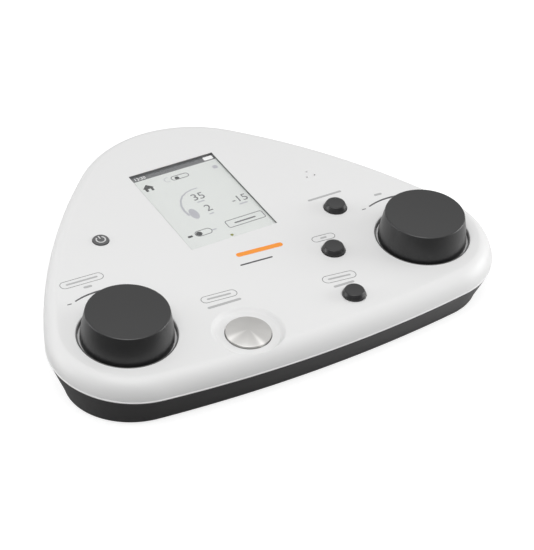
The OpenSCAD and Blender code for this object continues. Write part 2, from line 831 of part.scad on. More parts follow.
// A domed cap with a flat, slightly dipped top, a retaining flange under the cover and a stem.
module key_cap(at) {
    r = key_d / 2;
    flange_top = seat_top - fit_gap;
    color([0.14, 0.14, 0.14]) on_panel(at) rotate_extrude() polygon([
        [0, plunger_top], [stem_r, plunger_top], [stem_r, flange_top - flange_t],
        [key_flange_r, flange_top - flange_t], [key_flange_r, flange_top], [r, flange_top],
        [r, 0.4], [r - 0.3, key_h * 0.45], [key_top_d / 2 + key_top_round, key_h - key_top_round],
        [key_top_d / 2, key_h], [key_top_d / 2 - key_top_round, key_h], [0, key_h - key_top_dip]
    ]);
}

module plunger(at, travel, stand = 0) {
    color("gainsboro") on_panel(at)
        rod(plunger_d / 2, board_top + travel + plunger_foot, plunger_top + stand);
}

module switch_body(at) {
    color([0.2, 0.2, 0.22]) on_panel(at) difference() {
        block(switch_w, switch_w, board_top, switch_top);
        rod(plunger_d / 2 + run_gap, -over, over);
    }
}

module key_switches() {
    for (at = key_places) switch_body(at);
}

// ---- Presentation button ----

cap_steps = 6;
module stimulus_button() {
    r = stimulus_d / 2;
    color("silver") on_panel(stimulus_at) rotate_extrude($fn = 72) polygon(concat(
        [[0, carrier_top], [r - 0.6, carrier_top], [r, carrier_top + 0.5]],
        [for (i = [0 : cap_steps]) let (s = i / cap_steps)
            [r * (1 - s), cap_rim + stimulus_crown * (1 - (1 - s) ^ 2)]]
    ));
}

// Carries the cap, and keeps it from coming out through the cover.
module stimulus_carrier() {
    color([0.2, 0.2, 0.2]) on_panel(stimulus_at) {
        rod(stimulus_d / 2 - 0.8, carrier_flange_top - sink, carrier_top);
        rod(carrier_flange_r, spring_head, carrier_flange_top);
        rod(carrier_stem_r, plunger_top, spring_head + sink);
    }
}

// Return spring: one wire, wound round the carrier's stem from the board to the flange.
module stimulus_spring() {
    sides = 6;
    steps = 14 * spring_turns;
    wire = spring_wire / 2;
    low = spring_foot + wire + run_gap;
    high = spring_head - wire - run_gap;
    color("silver") on_panel(stimulus_at) polyhedron(
        points = [for (i = [0 : steps]) for (j = [0 : sides - 1])
            let (t = 360 * spring_turns * i / steps, a = 360 * j / sides, r = spring_r + wire * cos(a))
            [r * cos(t), r * sin(t), low + (high - low) * i / steps + wire * sin(a)]],
        faces = concat(
            [[for (j = [0 : sides - 1]) j]],
            [for (i = [0 : steps - 1]) for (j = [0 : sides - 1])
                let (a = i * sides + j, b = i * sides + (j + 1) % sides)
                each [[a, a + sides, b + sides], [a, b + sides, b]]],
            [[for (j = [sides - 1 : -1 : 0]) steps * sides + j]]
        )
    );
}

// ---- Power key ----

module power_key() {
    r = power_d / 2;
    flange_top = seat_top - fit_gap;
    color([0.25, 0.25, 0.26]) on_panel(power_at) rotate_extrude() polygon([
        [0, plunger_top], [stem_r, plunger_top], [stem_r, flange_top - flange_t],
        [power_flange_r, flange_top - flange_t], [power_flange_r, flange_top], [r, flange_top],
        [r, power_h - 0.4], [r - 0.4, power_h], [0, power_h]
    ]);
}

// ---- Rear sockets ----

module plate_screw_places() {
    for (sx = [-1, 1]) for (sz = [-1, 1])
        translate([sx * (plate_w / 2 - plate_screw_inset), recess_y,
            recess_mid + sz * (plate_h / 2 - plate_screw_inset)]) children();
}

module rear_plate() {
    color([0.22, 0.22, 0.23]) difference() {
        translate([-plate_w / 2, recess_y, recess_mid - plate_h / 2]) cube([plate_w, plate_t, plate_h]);
        for (x = jack_xs) translate([x, recess_y, recess_mid])
            rod_y(jack_nose_d / 2 + fit_gap, -over, over);
        translate([usb_x, recess_y, recess_mid]) block_y(usb_w, usb_h, -over, over);
        plate_screw_places() rod_y(small_screw_d / 2 + fit_gap, -over, over);
    }
}

// A box centred on the Y axis of its place.
module block_y(w, h, near, far) {
    translate([-w / 2, near, -h / 2]) cube([w, far - near, h]);
}

module rear_plate_screws() {
    color("silver") plate_screw_places() {
        rod_y(small_screw_d / 2 - run_gap, 3 - block_front, plate_t);
        rod_y(small_screw_d * 0.9, plate_t, plate_t + 1.2);
    }
}

module audio_jacks() {
    color([0.13, 0.13, 0.14]) for (x = jack_xs) translate([x, recess_y, recess_mid]) difference() {
        union() {
            block_y(jack_w, jack_h, -jack_l, 0);
            rod_y(jack_nose_d / 2, -sink, jack_nose_l);
        }
        rod_y(jack_bore_r, 2 - jack_l, over);
    }
}

module jack_nuts() {
    color("silver") for (x = jack_xs) translate([x, recess_y, recess_mid]) difference() {
        rod_y(jack_nut_r, plate_t, plate_t + jack_nut_t);
        rod_y(jack_nose_d / 2 + run_gap, -over, over);
    }
}

module jack_board() {
    color("darkgreen") translate([0, recess_y - jack_l - board_t, recess_mid])
        translate([-jack_board_w / 2, 0, -jack_board_h / 2]) cube([jack_board_w, board_t, jack_board_h]);
}

module usb_socket() {
    color("silver") translate([usb_x, recess_y, recess_mid]) {
        difference() {
            block_y(usb_w + 2 * usb_wall, usb_h + 2 * usb_wall, -jack_l, 0);
            block_y(usb_w, usb_h, usb_wall - usb_l, over);
        }
        block_y(usb_tongue_w, usb_tongue_h, -usb_l, -usb_clear);
    }
}

// ---- Battery ----

module battery_pack() {
    color("steelblue") translate([0, battery_y, 0])
        block(battery_w, battery_d, base_z + door_t, base_z + door_t + battery_h);
}

module battery_door() {
    color("dimgray") difference() {
        union() {
            translate([0, battery_y, 0])
                block(door_w - 2 * fit_gap, door_d - 2 * fit_gap, base_z, base_z + door_t);
            translate([0, door_screw_y, 0]) rod(door_tab_r, base_z, base_z + door_t);
        }
        translate([0, door_screw_y, 0]) rod(small_screw_d / 2 + fit_gap, 0, over);
    }
}

module battery_door_screw() {
    color("silver") translate([0, door_screw_y, 0]) {
        rod(small_screw_d / 2 - run_gap, base_z, base_z + door_boss_h - 2);
        rod(small_screw_d * 0.9, base_z - 0.5, base_z);
    }
}

top_cover();
base_shell();
case_screws();
feet();
window_gasket();
touch_glass();
display_panel();
status_led();
display_carrier();
display_ribbon();
main_board();
board_chips();
board_screws();
microphone();
microphone_boot();
dial_seat(left_dial);  // left_dial_seat
dial_seat(right_dial);  // right_dial_seat
dial_seal(left_dial);  // left_dial_seal
dial_seal(right_dial);  // right_dial_seal
knob(left_dial);  // left_knob
knob(right_dial);  // right_knob
knob_hub(left_dial);  // left_knob_hub
knob_hub(right_dial);  // right_knob_hub
encoder_shaft(left_dial);  // left_encoder_shaft
encoder_shaft(right_dial);  // right_encoder_shaft
encoder_bush(left_dial);  // left_encoder_bush
encoder_bush(right_dial);  // right_encoder_bush
encoder_nut(left_dial);  // left_encoder_nut
encoder_nut(right_dial);  // right_encoder_nut
encoder_washer(left_dial);  // left_encoder_washer
encoder_washer(right_dial);  // right_encoder_washer
encoder_body(left_dial);  // left_encoder_body
encoder_body(right_dial);  // right_encoder_body
key_cap(back_key_at);  // back_key
key_cap(middle_key_at);  // middle_key
key_cap(front_key_at);  // front_key
plunger(back_key_at, key_travel);  // back_key_plunger
plunger(middle_key_at, key_travel);  // middle_key_plunger
plunger(front_key_at, key_travel);  // front_key_plunger
key_switches();
stimulus_button();
stimulus_carrier();
stimulus_spring();
plunger(stimulus_at, stimulus_travel);  // stimulus_plunger
switch_body(stimulus_at);  // stimulus_switch
power_key();
plunger(power_at, power_travel);  // power_plunger
switch_body(power_at);  // power_switch
rear_plate();
rear_plate_screws();
audio_jacks();
jack_nuts();
jack_board();
usb_socket();
battery_pack();
battery_door();
battery_door_screw();
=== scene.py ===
"""Dresses a desktop hearing tester: rounded three-sided case, two dials, touch screen, keys and a round metal button.

Sizes are in millimetres until a piece is placed. Panel space is x to the right, y up the sloping panel
and z out of it, with its origin on the panel over the middle of the case.
"""
import json
import logging
import math
from dataclasses import dataclass, field
from enum import Enum
from typing import Any, Callable, Iterable, Optional, Sequence, Union

import bmesh
import bpy
from mathutils import Matrix, Vector

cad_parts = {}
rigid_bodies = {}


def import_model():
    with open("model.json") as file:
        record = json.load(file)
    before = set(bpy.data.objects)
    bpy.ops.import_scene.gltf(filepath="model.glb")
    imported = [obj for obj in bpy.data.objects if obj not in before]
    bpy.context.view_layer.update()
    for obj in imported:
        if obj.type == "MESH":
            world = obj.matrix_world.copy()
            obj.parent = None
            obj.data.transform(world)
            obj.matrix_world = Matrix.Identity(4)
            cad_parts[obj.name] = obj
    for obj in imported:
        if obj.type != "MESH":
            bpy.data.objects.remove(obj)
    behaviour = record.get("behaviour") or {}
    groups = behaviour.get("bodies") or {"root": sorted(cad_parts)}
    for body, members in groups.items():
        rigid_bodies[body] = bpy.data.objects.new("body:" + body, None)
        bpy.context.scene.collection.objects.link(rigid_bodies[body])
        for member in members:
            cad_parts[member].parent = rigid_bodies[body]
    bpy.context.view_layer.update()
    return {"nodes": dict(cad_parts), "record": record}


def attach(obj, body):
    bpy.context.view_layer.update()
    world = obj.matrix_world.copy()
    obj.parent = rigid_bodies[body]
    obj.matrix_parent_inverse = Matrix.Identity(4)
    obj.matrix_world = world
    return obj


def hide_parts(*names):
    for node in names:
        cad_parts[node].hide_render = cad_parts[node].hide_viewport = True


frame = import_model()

logging.basicConfig(level=logging.INFO, format="%(name)s: %(message)s")
LOG = logging.getLogger("hearing_tester")

MM = 0.001
SLOPE = math.radians(6.8)
RISE = math.tan(SLOPE)
PANEL_HEIGHT = 43.7
SEAM = PANEL_HEIGHT - 11.8
Point = tuple[float, float]
Point3 = tuple[float, float, float]
Colour = tuple[float, float, float]
Operand = Union["Num", float, int]
Width = Union[float, Callable[[float], float]]

COINCIDENT = 1e-7
SLIVER = 2e-6

TO_WORLD = Matrix.Scale(MM, 4)
TO_PANEL = TO_WORLD @ Matrix.Translation((0, 0, PANEL_HEIGHT)) @ Matrix.Rotation(SLOPE, 4, "X")


def up_slope(y: float) -> float:
    """Gives the distance up the panel that lies over a plan distance y."""
    return y / math.cos(SLOPE)


def panel_at(x: float, y: float, height: float = 0.0) -> Vector:
    """Gives the place in metres of a point of panel space."""
    return TO_PANEL @ Vector((x, y, height))


# ---------------------------------------------------------------- node maths


@dataclass(frozen=True)
class Num:
    """A number socket of a node tree, with arithmetic that adds Math nodes.

    Attributes:
        tree: The node tree that holds the socket.
        socket: The output socket.
    """

    tree: bpy.types.NodeTree
    socket: bpy.types.NodeSocket

    def math(self, operation: str, first: Operand, second: Optional[Operand] = None,
             clamp: bool = False) -> "Num":
        """Adds a Math node.

        Args:
            operation: Blender's name of the operation.
            first: The first operand.
            second: The second operand, where the operation takes one.
            clamp: Whether the result is kept between 0 and 1.

        Returns:
            The node's result.
        """
        node = self.tree.nodes.new("ShaderNodeMath")
        node.operation = operation
        node.use_clamp = clamp
        for place, value in enumerate((first, second)):
            if isinstance(value, Num):
                self.tree.links.new(value.socket, node.inputs[place])
            elif value is not None:
                node.inputs[place].default_value = float(value)
        return Num(self.tree, node.outputs[0])

    def __add__(self, other: Operand) -> "Num":
        """Adds."""
        return self.math("ADD", self, other)

    def __radd__(self, other: Operand) -> "Num":
        """Adds, from the right."""
        return self.math("ADD", other, self)

    def __sub__(self, other: Operand) -> "Num":
        """Subtracts."""
        return self.math("SUBTRACT", self, other)

    def __rsub__(self, other: Operand) -> "Num":
        """Subtracts this number from another."""
        return self.math("SUBTRACT", other, self)

    def __mul__(self, other: Operand) -> "Num":
        """Multiplies."""
        return self.math("MULTIPLY", self, other)

    def __rmul__(self, other: Operand) -> "Num":
        """Multiplies, from the right."""
        return self.math("MULTIPLY", other, self)

    def __truediv__(self, other: Operand) -> "Num":
        """Divides."""
        return self.math("DIVIDE", self, other)

    def __rtruediv__(self, other: Operand) -> "Num":
        """Divides another number by this one."""
        return self.math("DIVIDE", other, self)

    def __pow__(self, other: Operand) -> "Num":
        """Raises to a power."""
        return self.math("POWER", self, other)

    def __rpow__(self, other: Operand) -> "Num":
        """Raises another number to this power."""
        return self.math("POWER", other, self)

    def __gt__(self, other: Operand) -> "Num":
        """Gives 1 where this number is the larger one, else 0."""
        return self.math("GREATER_THAN", self, other)

    def __abs__(self) -> "Num":
        """Gives the size without the sign."""
        return self.math("ABSOLUTE", self)

    def clamped(self) -> "Num":
        """Keeps the number between 0 and 1."""
        return self.math("ADD", self, 0.0, clamp=True)

    def cosine(self) -> "Num":
        """Gives the cosine of an angle in radians."""
        return self.math("COSINE", self)

    def sine(self) -> "Num":
        """Gives the sine of an angle in radians."""
        return self.math("SINE", self)


class Board:
    """A node tree with one way to add any node."""

    def __init__(self, tree: bpy.types.NodeTree) -> None:
        """Takes the tree and empties it."""
        self.tree = tree
        tree.nodes.clear()

    def node(self, kind: str, settings: Optional[dict[str, Any]] = None,
             sockets: Optional[dict[Union[str, int], Any]] = None) -> bpy.types.Node:
        """Adds a node.

        Args:
            kind: Blender's type name of the node.
            settings: The node's own settings, which are set before its sockets. "stops" fills a ramp.
            sockets: A value, a Num or an output socket for each named or numbered input.

        Returns:
            The new node.
        """
        made = self.tree.nodes.new(kind)
        for name, value in (settings or {}).items():
            if name == "stops":
                ramp = made.color_ramp.elements
                while len(ramp) < len(value):
                    ramp.new(0.5)
                for stop, (place, tint) in zip(ramp, value):
                    stop.position = place
                    stop.color = (*tint, 1.0) if isinstance(tint, tuple) else (tint, tint, tint, 1.0)
            else:
                setattr(made, name, value)
        for name, value in (sockets or {}).items():
            target = made.inputs[name]
            if isinstance(value, Num):
                self.tree.links.new(value.socket, target)
            elif isinstance(value, bpy.types.NodeSocket):
                self.tree.links.new(value, target)
            else:
                target.default_value = value
        return made

    def num(self, socket: bpy.types.NodeSocket) -> Num:
        """Wraps a number socket of this tree."""
        return Num(self.tree, socket)

    def across(self, vector: bpy.types.NodeSocket) -> tuple[Num, Num]:
        """Gives the X and Y of a vector."""
        axes = self.node("ShaderNodeSeparateXYZ", sockets={"Vector": vector})
        return self.num(axes.outputs["X"]), self.num(axes.outputs["Y"])

    def spot(self) -> bpy.types.NodeSocket:
        """Gives the place on the piece, as Object coordinates."""
        return self.node("ShaderNodeTexCoord").outputs["Object"]

    def tilted(self, centre: Point3, tilt: float) -> tuple[Num, Num]:
        """Gives X and Y about a centre in metres, in a plane turned about X by an angle in radians.

        Args:
            centre: The centre's place, in metres.
            tilt: The plane's angle about X, in radians.

        Returns:
            X and Y in that plane.
        """
        local = self.node("ShaderNodeMapping", {"vector_type": "TEXTURE"}, {
            "Vector": self.spot(), "Location": centre, "Rotation": (tilt, 0.0, 0.0)})
        return self.across(local.outputs["Vector"])

    def blend(self, share: Num, first: tuple[float, ...], second: Any) -> bpy.types.NodeSocket:
        """Mixes two colours.

        Args:
            share: How much of the second shows, 0 to 1.
            first: The first, as a colour or a socket.
            second: The second, as a colour or a socket.

        Returns:
            The mixed colour.
        """
        return self.node("ShaderNodeMix", {"data_type": "RGBA"}, {
            "Factor": share, "A": first, "B": second}).outputs["Result"]

    def bumped(self, height: Num, strength: float, depth: float) -> bpy.types.NodeSocket:
        """Gives the normal of a relief of a strength and a depth in metres."""
        return self.node("ShaderNodeBump", sockets={
            "Strength": strength, "Distance": depth, "Height": height}).outputs["Normal"]

    def skin(self, **sockets: Any) -> bpy.types.NodeSocket:
        """Adds the shader, with its sockets' names written with underscores, and returns its output."""
        named = {name.replace("_", " "): value for name, value in sockets.items()}
        return self.node("ShaderNodeBsdfPrincipled", sockets=named).outputs["BSDF"]


# ---------------------------------------------------------------- finishes


class Grade(Enum):
    """Where a moulding's grain lies between polished and coarse, as size in metres and depth in metres."""

    POLISHED = (0.0020, 0.000002)
    FINE = (0.0007, 0.000012)
    COARSE = (0.0010, 0.00003)


@dataclass(frozen=True)
class Finish:
    """What every finish has: a name and a colour. Each kind of finish adds its own nodes.

    Attributes:
        name: Name of the material.
        colour: Base colour, linear.
    """

    name: str
    colour: Colour

    def material(self) -> bpy.types.Material:
        """Gives the finish's material, making it the first time it is asked for.

        Returns:
            The material.
        """
        known = bpy.data.materials.get(self.name)
        if known is not None:
            return known
        made = bpy.data.materials.new(self.name)
        made.use_nodes = True
        board = Board(made.node_tree)
        surface = self.surface(board)
        board.node("ShaderNodeOutputMaterial", sockets={"Surface": surface})
        return made

    def surface(self, board: Board) -> bpy.types.NodeSocket:
        """Adds the finish's nodes and returns the shader that the surface takes."""
        raise NotImplementedError

    def speckle(self, board: Board, size: float, detail: float = 2.0,
                vector: Optional[bpy.types.NodeSocket] = None) -> Num:
        """Adds a noise over the object.

        Args:
            board: The tree.
            size: Size of the noise's features in metres.
            detail: How many finer layers it has.
            vector: What it reads, or None for Object coordinates.

        Returns:
            The noise, about 0 to 1.
        """
        if vector is None:
            vector = board.spot()
        noise = board.node("ShaderNodeTexNoise", sockets={"Vector": vector, "Scale": 1.0 / size, "Detail": detail})
        return board.num(noise.outputs["Fac"])

    def tinted(self, board: Board, shade: Num, dark: float, light: float) -> bpy.types.NodeSocket:
        """Mixes a darker and a lighter form of the colour by a mask.

        Args:
            board: The tree.
            shade: The mask.
            dark: What the colour is multiplied by where the mask is 0.
            light: What the colour is multiplied by where the mask is 1.

        Returns:
            The mixed colour.
        """
        def form(by: float) -> tuple[float, ...]:
            """Gives the colour multiplied by a number, with its alpha."""
            return tuple(min(1.0, channel * by) for channel in self.colour) + (1.0,)

        return board.blend(shade.clamped(), form(dark), form(light))


@dataclass(frozen=True)
class Moulded(Finish):
    """Moulded plastic or rubber: faint mottle, fine grain and a few duller patches.

    Attributes:
        rough: Mean roughness.
        grade: The grain of the tool that moulded it.
        mottle: How far the colour varies, as a share.
        shine: Weight of a clear, polished skin.
        glow: Strength of its own light.
    """

    rough: float = 0.45
    grade: Grade = Grade.FINE
    mottle: float = 0.04
    shine: float = 0.0
    glow: float = 0.0

    def surface(self, board: Board) -> bpy.types.NodeSocket:
        """Adds the nodes of moulded plastic.

        Args:
            board: The tree the nodes go into.

        Returns:
            The surface's shader socket.
        """
        size, depth = self.grade.value
        broad = self.speckle(board, 0.045, 3.0)
        fine = self.speckle(board, size, 2.0)
        tint = self.tinted(board, broad * 0.7 + fine * 0.3, 1.0 - self.mottle, 1.0 + self.mottle)
        light = {"Emission_Color": tint, "Emission_Strength": self.glow} if self.glow else {}
        return board.skin(
            Base_Color=tint, Roughness=(self.rough - 0.05) + broad * 0.07 + fine * 0.03,
            Normal=board.bumped(fine, 0.5, depth), Coat_Weight=self.shine, Coat_Roughness=0.12, **light)


@dataclass(frozen=True)
class DialSkin(Finish):
    """A dial's rubbery moulding: a satin disc on top and a smoother side whose darker colour is painted shade.

    Attributes:
        side: Colour of the side, linear, darker than the top as painted shade.
        disc: Radius of the disc, in metres.
        crispness: How fast the disc's finish gives way to the side's, per metre.
    """

    side: Colour = (0.015, 0.015, 0.0155)
    disc: float = 0.0224
    crispness: float = 6000.0

    def surface(self, board: Board) -> bpy.types.NodeSocket:
        """Adds the nodes of a dial, which serve both dials by measuring from the nearer axis.

        Args:
            board: The tree the nodes go into.

        Returns:
            The surface's shader socket.
        """
        x, y = board.tilted(tuple(panel_at(0.0, DIAL_Y)), SLOPE)
        x = abs(x) - DIAL_X * MM
        radius = (x * x + y * y) ** 0.5
        side_finish_and_shade = ((radius - self.disc) * self.crispness).clamped()
        broad = self.speckle(board, 0.03, 3.0)
        fine = self.speckle(board, 0.0006, 2.0)
        top = self.tinted(board, broad * 0.6 + fine * 0.4, 0.9, 1.1)
        # The side's darker colour is painted shade; its lower roughness and its coat are its finish.
        return board.skin(
            Base_Color=board.blend(side_finish_and_shade, top, (*self.side, 1.0)), Roughness=0.42 - side_finish_and_shade * 0.06 + fine * 0.04,
            Coat_Weight=side_finish_and_shade * 0.15, Coat_Roughness=0.24, Normal=board.bumped(fine, 0.4, 0.00001))


@dataclass(frozen=True)
class Turned(Finish):
    """Metal turned on a lathe, with fine grooves round a centre, and bright radial streaks painted into its colour as
    painted highlights.

    Attributes:
        centre: The axis, in metres.
        tilt: Turn of the axis about X, in radians.
        rough: Mean roughness.
        pitch: Distance between grooves, in metres.
        depth: Depth of the grooves, in metres.
        painted_rays: Where the brightest painted highlights lie, in degrees from +X, each with its narrowness.
        reach: Radius of the face, in metres.
    """

    centre: Point3 = (0.0, 0.0, 0.0)
    tilt: float = 0.0
    rough: float = 0.3
    pitch: float = 0.00035
    depth: float = 0.000012
    painted_rays: tuple[Point, ...] = ((183.0, 60.0), (277.0, 90.0))
    reach: float = 0.0126

    def surface(self, board: Board) -> bpy.types.NodeSocket:
        """Adds the nodes of turned metal.

        Args:
            board: The tree the nodes go into.

        Returns:
            The surface's shader socket.
        """
        x, y = board.tilted(self.centre, self.tilt)
        radius = (x * x + y * y) ** 0.5 + 1e-6
        u, v = x / radius, y / radius
        along = board.node("ShaderNodeCombineXYZ", sockets={"X": radius})
        grooves = self.speckle(board, self.pitch, 1.0, along.outputs["Vector"])
        around = board.node("ShaderNodeCombineXYZ", sockets={"X": u, "Y": v})
        painted_fan = self.speckle(board, 0.5, 2.0, around.outputs["Vector"])
        worn = self.speckle(board, 0.006, 3.0)
        # Painted highlights: streaks round the centre and bright rays lighten the metal's colour; the grooves and wear
        # are its own.
        painted_sheen = painted_fan * 0.3
        for angle, narrow in self.painted_rays:
            turn = math.radians(angle)
            painted_sheen = painted_sheen + (u * math.cos(turn) + v * math.sin(turn)).clamped() ** narrow * 0.75
        outward = (radius / self.reach).clamped()
        tint = self.tinted(board, painted_sheen * outward + grooves * 0.12 + worn * 0.1, 0.82, 1.5)
        return board.skin(Base_Color=tint, Metallic=1.0, Roughness=(self.rough - 0.04) + worn * 0.08,
                          Normal=board.bumped(grooves, 0.6, self.depth))


@dataclass(frozen=True)
class Plain(Finish):
    """Drawn, rolled or plated metal with faint scuffs.

    Attributes:
        rough: Mean roughness.
        metallic: How metallic it is.
    """

    rough: float = 0.3
    metallic: float = 1.0

    def surface(self, board: Board) -> bpy.types.NodeSocket:
        """Adds the nodes of plain metal.

        Args:
            board: The tree the nodes go into.

        Returns:
            The surface's shader socket.
        """
        scuff = self.speckle(board, 0.0025, 4.0)
        return board.skin(
            Base_Color=self.tinted(board, scuff, 0.9, 1.08), Metallic=self.metallic,
            Roughness=(self.rough - 0.06) + scuff * 0.12, Normal=board.bumped(scuff, 0.3, 0.00001))


@dataclass(frozen=True)
class Circuit(Finish):
    """Circuit board with copper tracks under its green mask.

    Attributes:
        track: Colour over a track.
    """

    track: Colour = (0.04, 0.3, 0.1)

    def surface(self, board: Board) -> bpy.types.NodeSocket:
        """Adds the nodes of a circuit board.

        Args:
            board: The tree the nodes go into.

        Returns:
            The surface's shader socket.
        """
        x, y = board.across(board.spot())
        mask = (x * 900.0).sine() * (y * 240.0).sine() > 0.55
        return board.skin(
            Base_Color=board.blend(mask, (*self.colour, 1.0), (*self.track, 1.0)), Roughness=0.3 - mask * 0.06,
            Normal=board.bumped(mask, 0.4, 0.00003))


@dataclass(frozen=True)
class ClearSheet(Finish):
    """A thin clear sheet that mostly shows what lies under it and mirrors a little.

    Attributes:
        cover: Share of the light that it sends back.
    """

    cover: float = 0.1

    def surface(self, board: Board) -> bpy.types.NodeSocket:
        """Adds the nodes of the clear sheet.

        Args:
            board: The tree the nodes go into.

        Returns:
            The surface's shader socket.
        """
        haze = self.speckle(board, 0.012, 2.0)
        edge = board.num(board.node("ShaderNodeLayerWeight", sockets={"Blend": 0.12}).outputs["Fresnel"])
        return board.skin(
            Base_Color=self.tinted(board, haze, 0.97, 1.0), Metallic=1.0, Roughness=0.05 + haze * 0.03,
            Alpha=(edge * 0.5 + self.cover).clamped())


BUTTON_AT = (-36.2, up_slope(-84.2))

COVER = Moulded("cover_white_moulding", (0.775, 0.775, 0.773), rough=0.45, grade=Grade.FINE, mottle=0.008)
BASE = Moulded("base_grey_moulding", (0.062, 0.061, 0.062), rough=0.55, grade=Grade.COARSE, mottle=0.1)
DIAL = DialSkin("dial_black_moulding", (0.018, 0.018, 0.0183))
KEY = Moulded("key_black_moulding", (0.016, 0.016, 0.0165), rough=0.36, grade=Grade.FINE, mottle=0.08)
SEAT = Moulded("seat_light_moulding", (0.74, 0.74, 0.74), rough=0.5, mottle=0.02)
# The dark colour of the ring that lines the dials' wells is painted shade on the wells' walls.
WELL_SHADE_LINER = Moulded("well_liner_painted_shade", (0.1, 0.1, 0.101), rough=0.6, grade=Grade.COARSE, mottle=0.1)
# The window edging's dark grey is painted shade on the window's wall.
WINDOW_SHADE_EDGING = Moulded("window_edging_painted_shade", (0.16, 0.162, 0.162), rough=0.55, mottle=0.06)
POWER = Moulded("power_key_grey", (0.1, 0.1, 0.102), rough=0.5, mottle=0.06)
DISPLAY = Moulded("display_pale", (0.66, 0.68, 0.665), rough=0.35, grade=Grade.POLISHED, mottle=0.008, glow=0.12)
GLASS = ClearSheet("screen_clear_glass", (0.75, 0.77, 0.77), cover=0.03)
METAL = Turned("button_turned_metal", (0.57, 0.562, 0.548), centre=tuple(panel_at(*BUTTON_AT)), tilt=SLOPE, rough=0.42)
MARK = Moulded("print_grey", (0.17, 0.17, 0.172), rough=0.5, grade=Grade.POLISHED, mottle=0.03)
MARK_SOFT = Moulded("print_soft_grey", (0.44, 0.44, 0.442), rough=0.5, grade=Grade.POLISHED, mottle=0.03)
MARK_DARK = Moulded("print_dark", (0.07, 0.07, 0.072), rough=0.5, grade=Grade.POLISHED, mottle=0.03)
MARK_ORANGE = Moulded("print_orange", (0.9, 0.3, 0.03), rough=0.5, grade=Grade.POLISHED, mottle=0.03)
MARK_PALE = Moulded("print_pale", (0.62, 0.62, 0.62), rough=0.5, grade=Grade.POLISHED, mottle=0.03)
SCREEN_BAR = Moulded("screen_bar_grey", (0.11, 0.112, 0.116), rough=0.35, grade=Grade.POLISHED, mottle=0.05, glow=0.3)
SCREEN_WHITE = Moulded("screen_white", (0.8, 0.8, 0.8), rough=0.35, grade=Grade.POLISHED, mottle=0.005, glow=0.25)
SCREEN_DARK = Moulded("screen_black", (0.03, 0.03, 0.03), rough=0.35, grade=Grade.POLISHED, mottle=0.05)
SCREEN_MID = Moulded("screen_grey", (0.13, 0.13, 0.138), rough=0.35, grade=Grade.POLISHED, mottle=0.03, glow=0.1)
SCREEN_LIGHT = Moulded("screen_light_grey", (0.4, 0.4, 0.43), rough=0.35, grade=Grade.POLISHED, mottle=0.02, glow=0.2)

SLOT_FINISHES: dict[str, Finish] = {
    "cover_white": COVER, "base_grey": BASE, "seat_grey": SEAT, "liner_black": WELL_SHADE_LINER, "knob_black": DIAL,
    "key_black": KEY, "power_grey": POWER, "screen_glass": GLASS, "display_pale": DISPLAY, "button_metal": METAL,
    "plate_grey": Moulded("plate_grey_moulding", (0.05, 0.05, 0.052), rough=0.48, grade=Grade.COARSE, mottle=0.1),
    "foot_rubber": Moulded("foot_black_rubber", (0.02, 0.02, 0.02), rough=0.75, grade=Grade.COARSE, mottle=0.15),
    "carrier_black": Moulded("carrier_black_moulding", (0.03, 0.03, 0.03), rough=0.5, mottle=0.1),
    "chip_black": Moulded("chip_black_package", (0.02, 0.02, 0.02), rough=0.55, grade=Grade.COARSE, mottle=0.1),
    "switch_black": Moulded("switch_black_body", (0.03, 0.03, 0.033), rough=0.45, mottle=0.1),
    "plunger_white": Moulded("plunger_white_moulding", (0.7, 0.7, 0.67), rough=0.45, mottle=0.03),
    "jack_black": Moulded("jack_black_moulding", (0.022, 0.022, 0.023), rough=0.3, mottle=0.08, shine=0.3),
    "battery_wrap": Moulded("battery_blue_film", (0.03, 0.09, 0.28), rough=0.3, mottle=0.06, shine=0.5),
    "ribbon_amber": Moulded("ribbon_amber_film", (0.42, 0.17, 0.03), rough=0.3, mottle=0.08, shine=0.4),
    "led_green": Moulded("lamp_yellow_green", (0.2, 0.22, 0.012), rough=0.4, grade=Grade.POLISHED, mottle=0.02,
                         glow=0.15),
    "board_green": Circuit("board_green_mask", (0.015, 0.12, 0.045)),
    "screw_steel": Plain("screw_steel_plain", (0.45, 0.45, 0.46), rough=0.35),
    "spring_steel": Plain("spring_steel_wire", (0.5, 0.5, 0.51), rough=0.3),
    "shaft_steel": Plain("shaft_steel_turned", (0.5, 0.5, 0.51), rough=0.28),
    "microphone_metal": Plain("microphone_pressed_can", (0.6, 0.6, 0.6), rough=0.35),
    "usb_steel": Plain("socket_pressed_steel", (0.6, 0.6, 0.6), rough=0.25),
    "nickel": Plain("nickel_plate", (0.68, 0.66, 0.62), rough=0.2),
    "hub_brass": Plain("brass_turned", (0.68, 0.48, 0.18), rough=0.25),
    "encoder_body": Plain("encoder_dull_can", (0.2, 0.22, 0.24), rough=0.5, metallic=0.4),
}


# ---------------------------------------------------------------- forms


def close_up(mesh: bpy.types.Mesh) -> None:
    """Merges a mesh's coincident corners and turns its faces outwards.

    Args:
        mesh: The mesh, which is changed in place.
    """
    tool = bmesh.new()
    tool.from_mesh(mesh)
    bmesh.ops.remove_doubles(tool, verts=tool.verts, dist=COINCIDENT)
    bmesh.ops.recalc_face_normals(tool, faces=tool.faces)
    tool.to_mesh(mesh)
    tool.free()


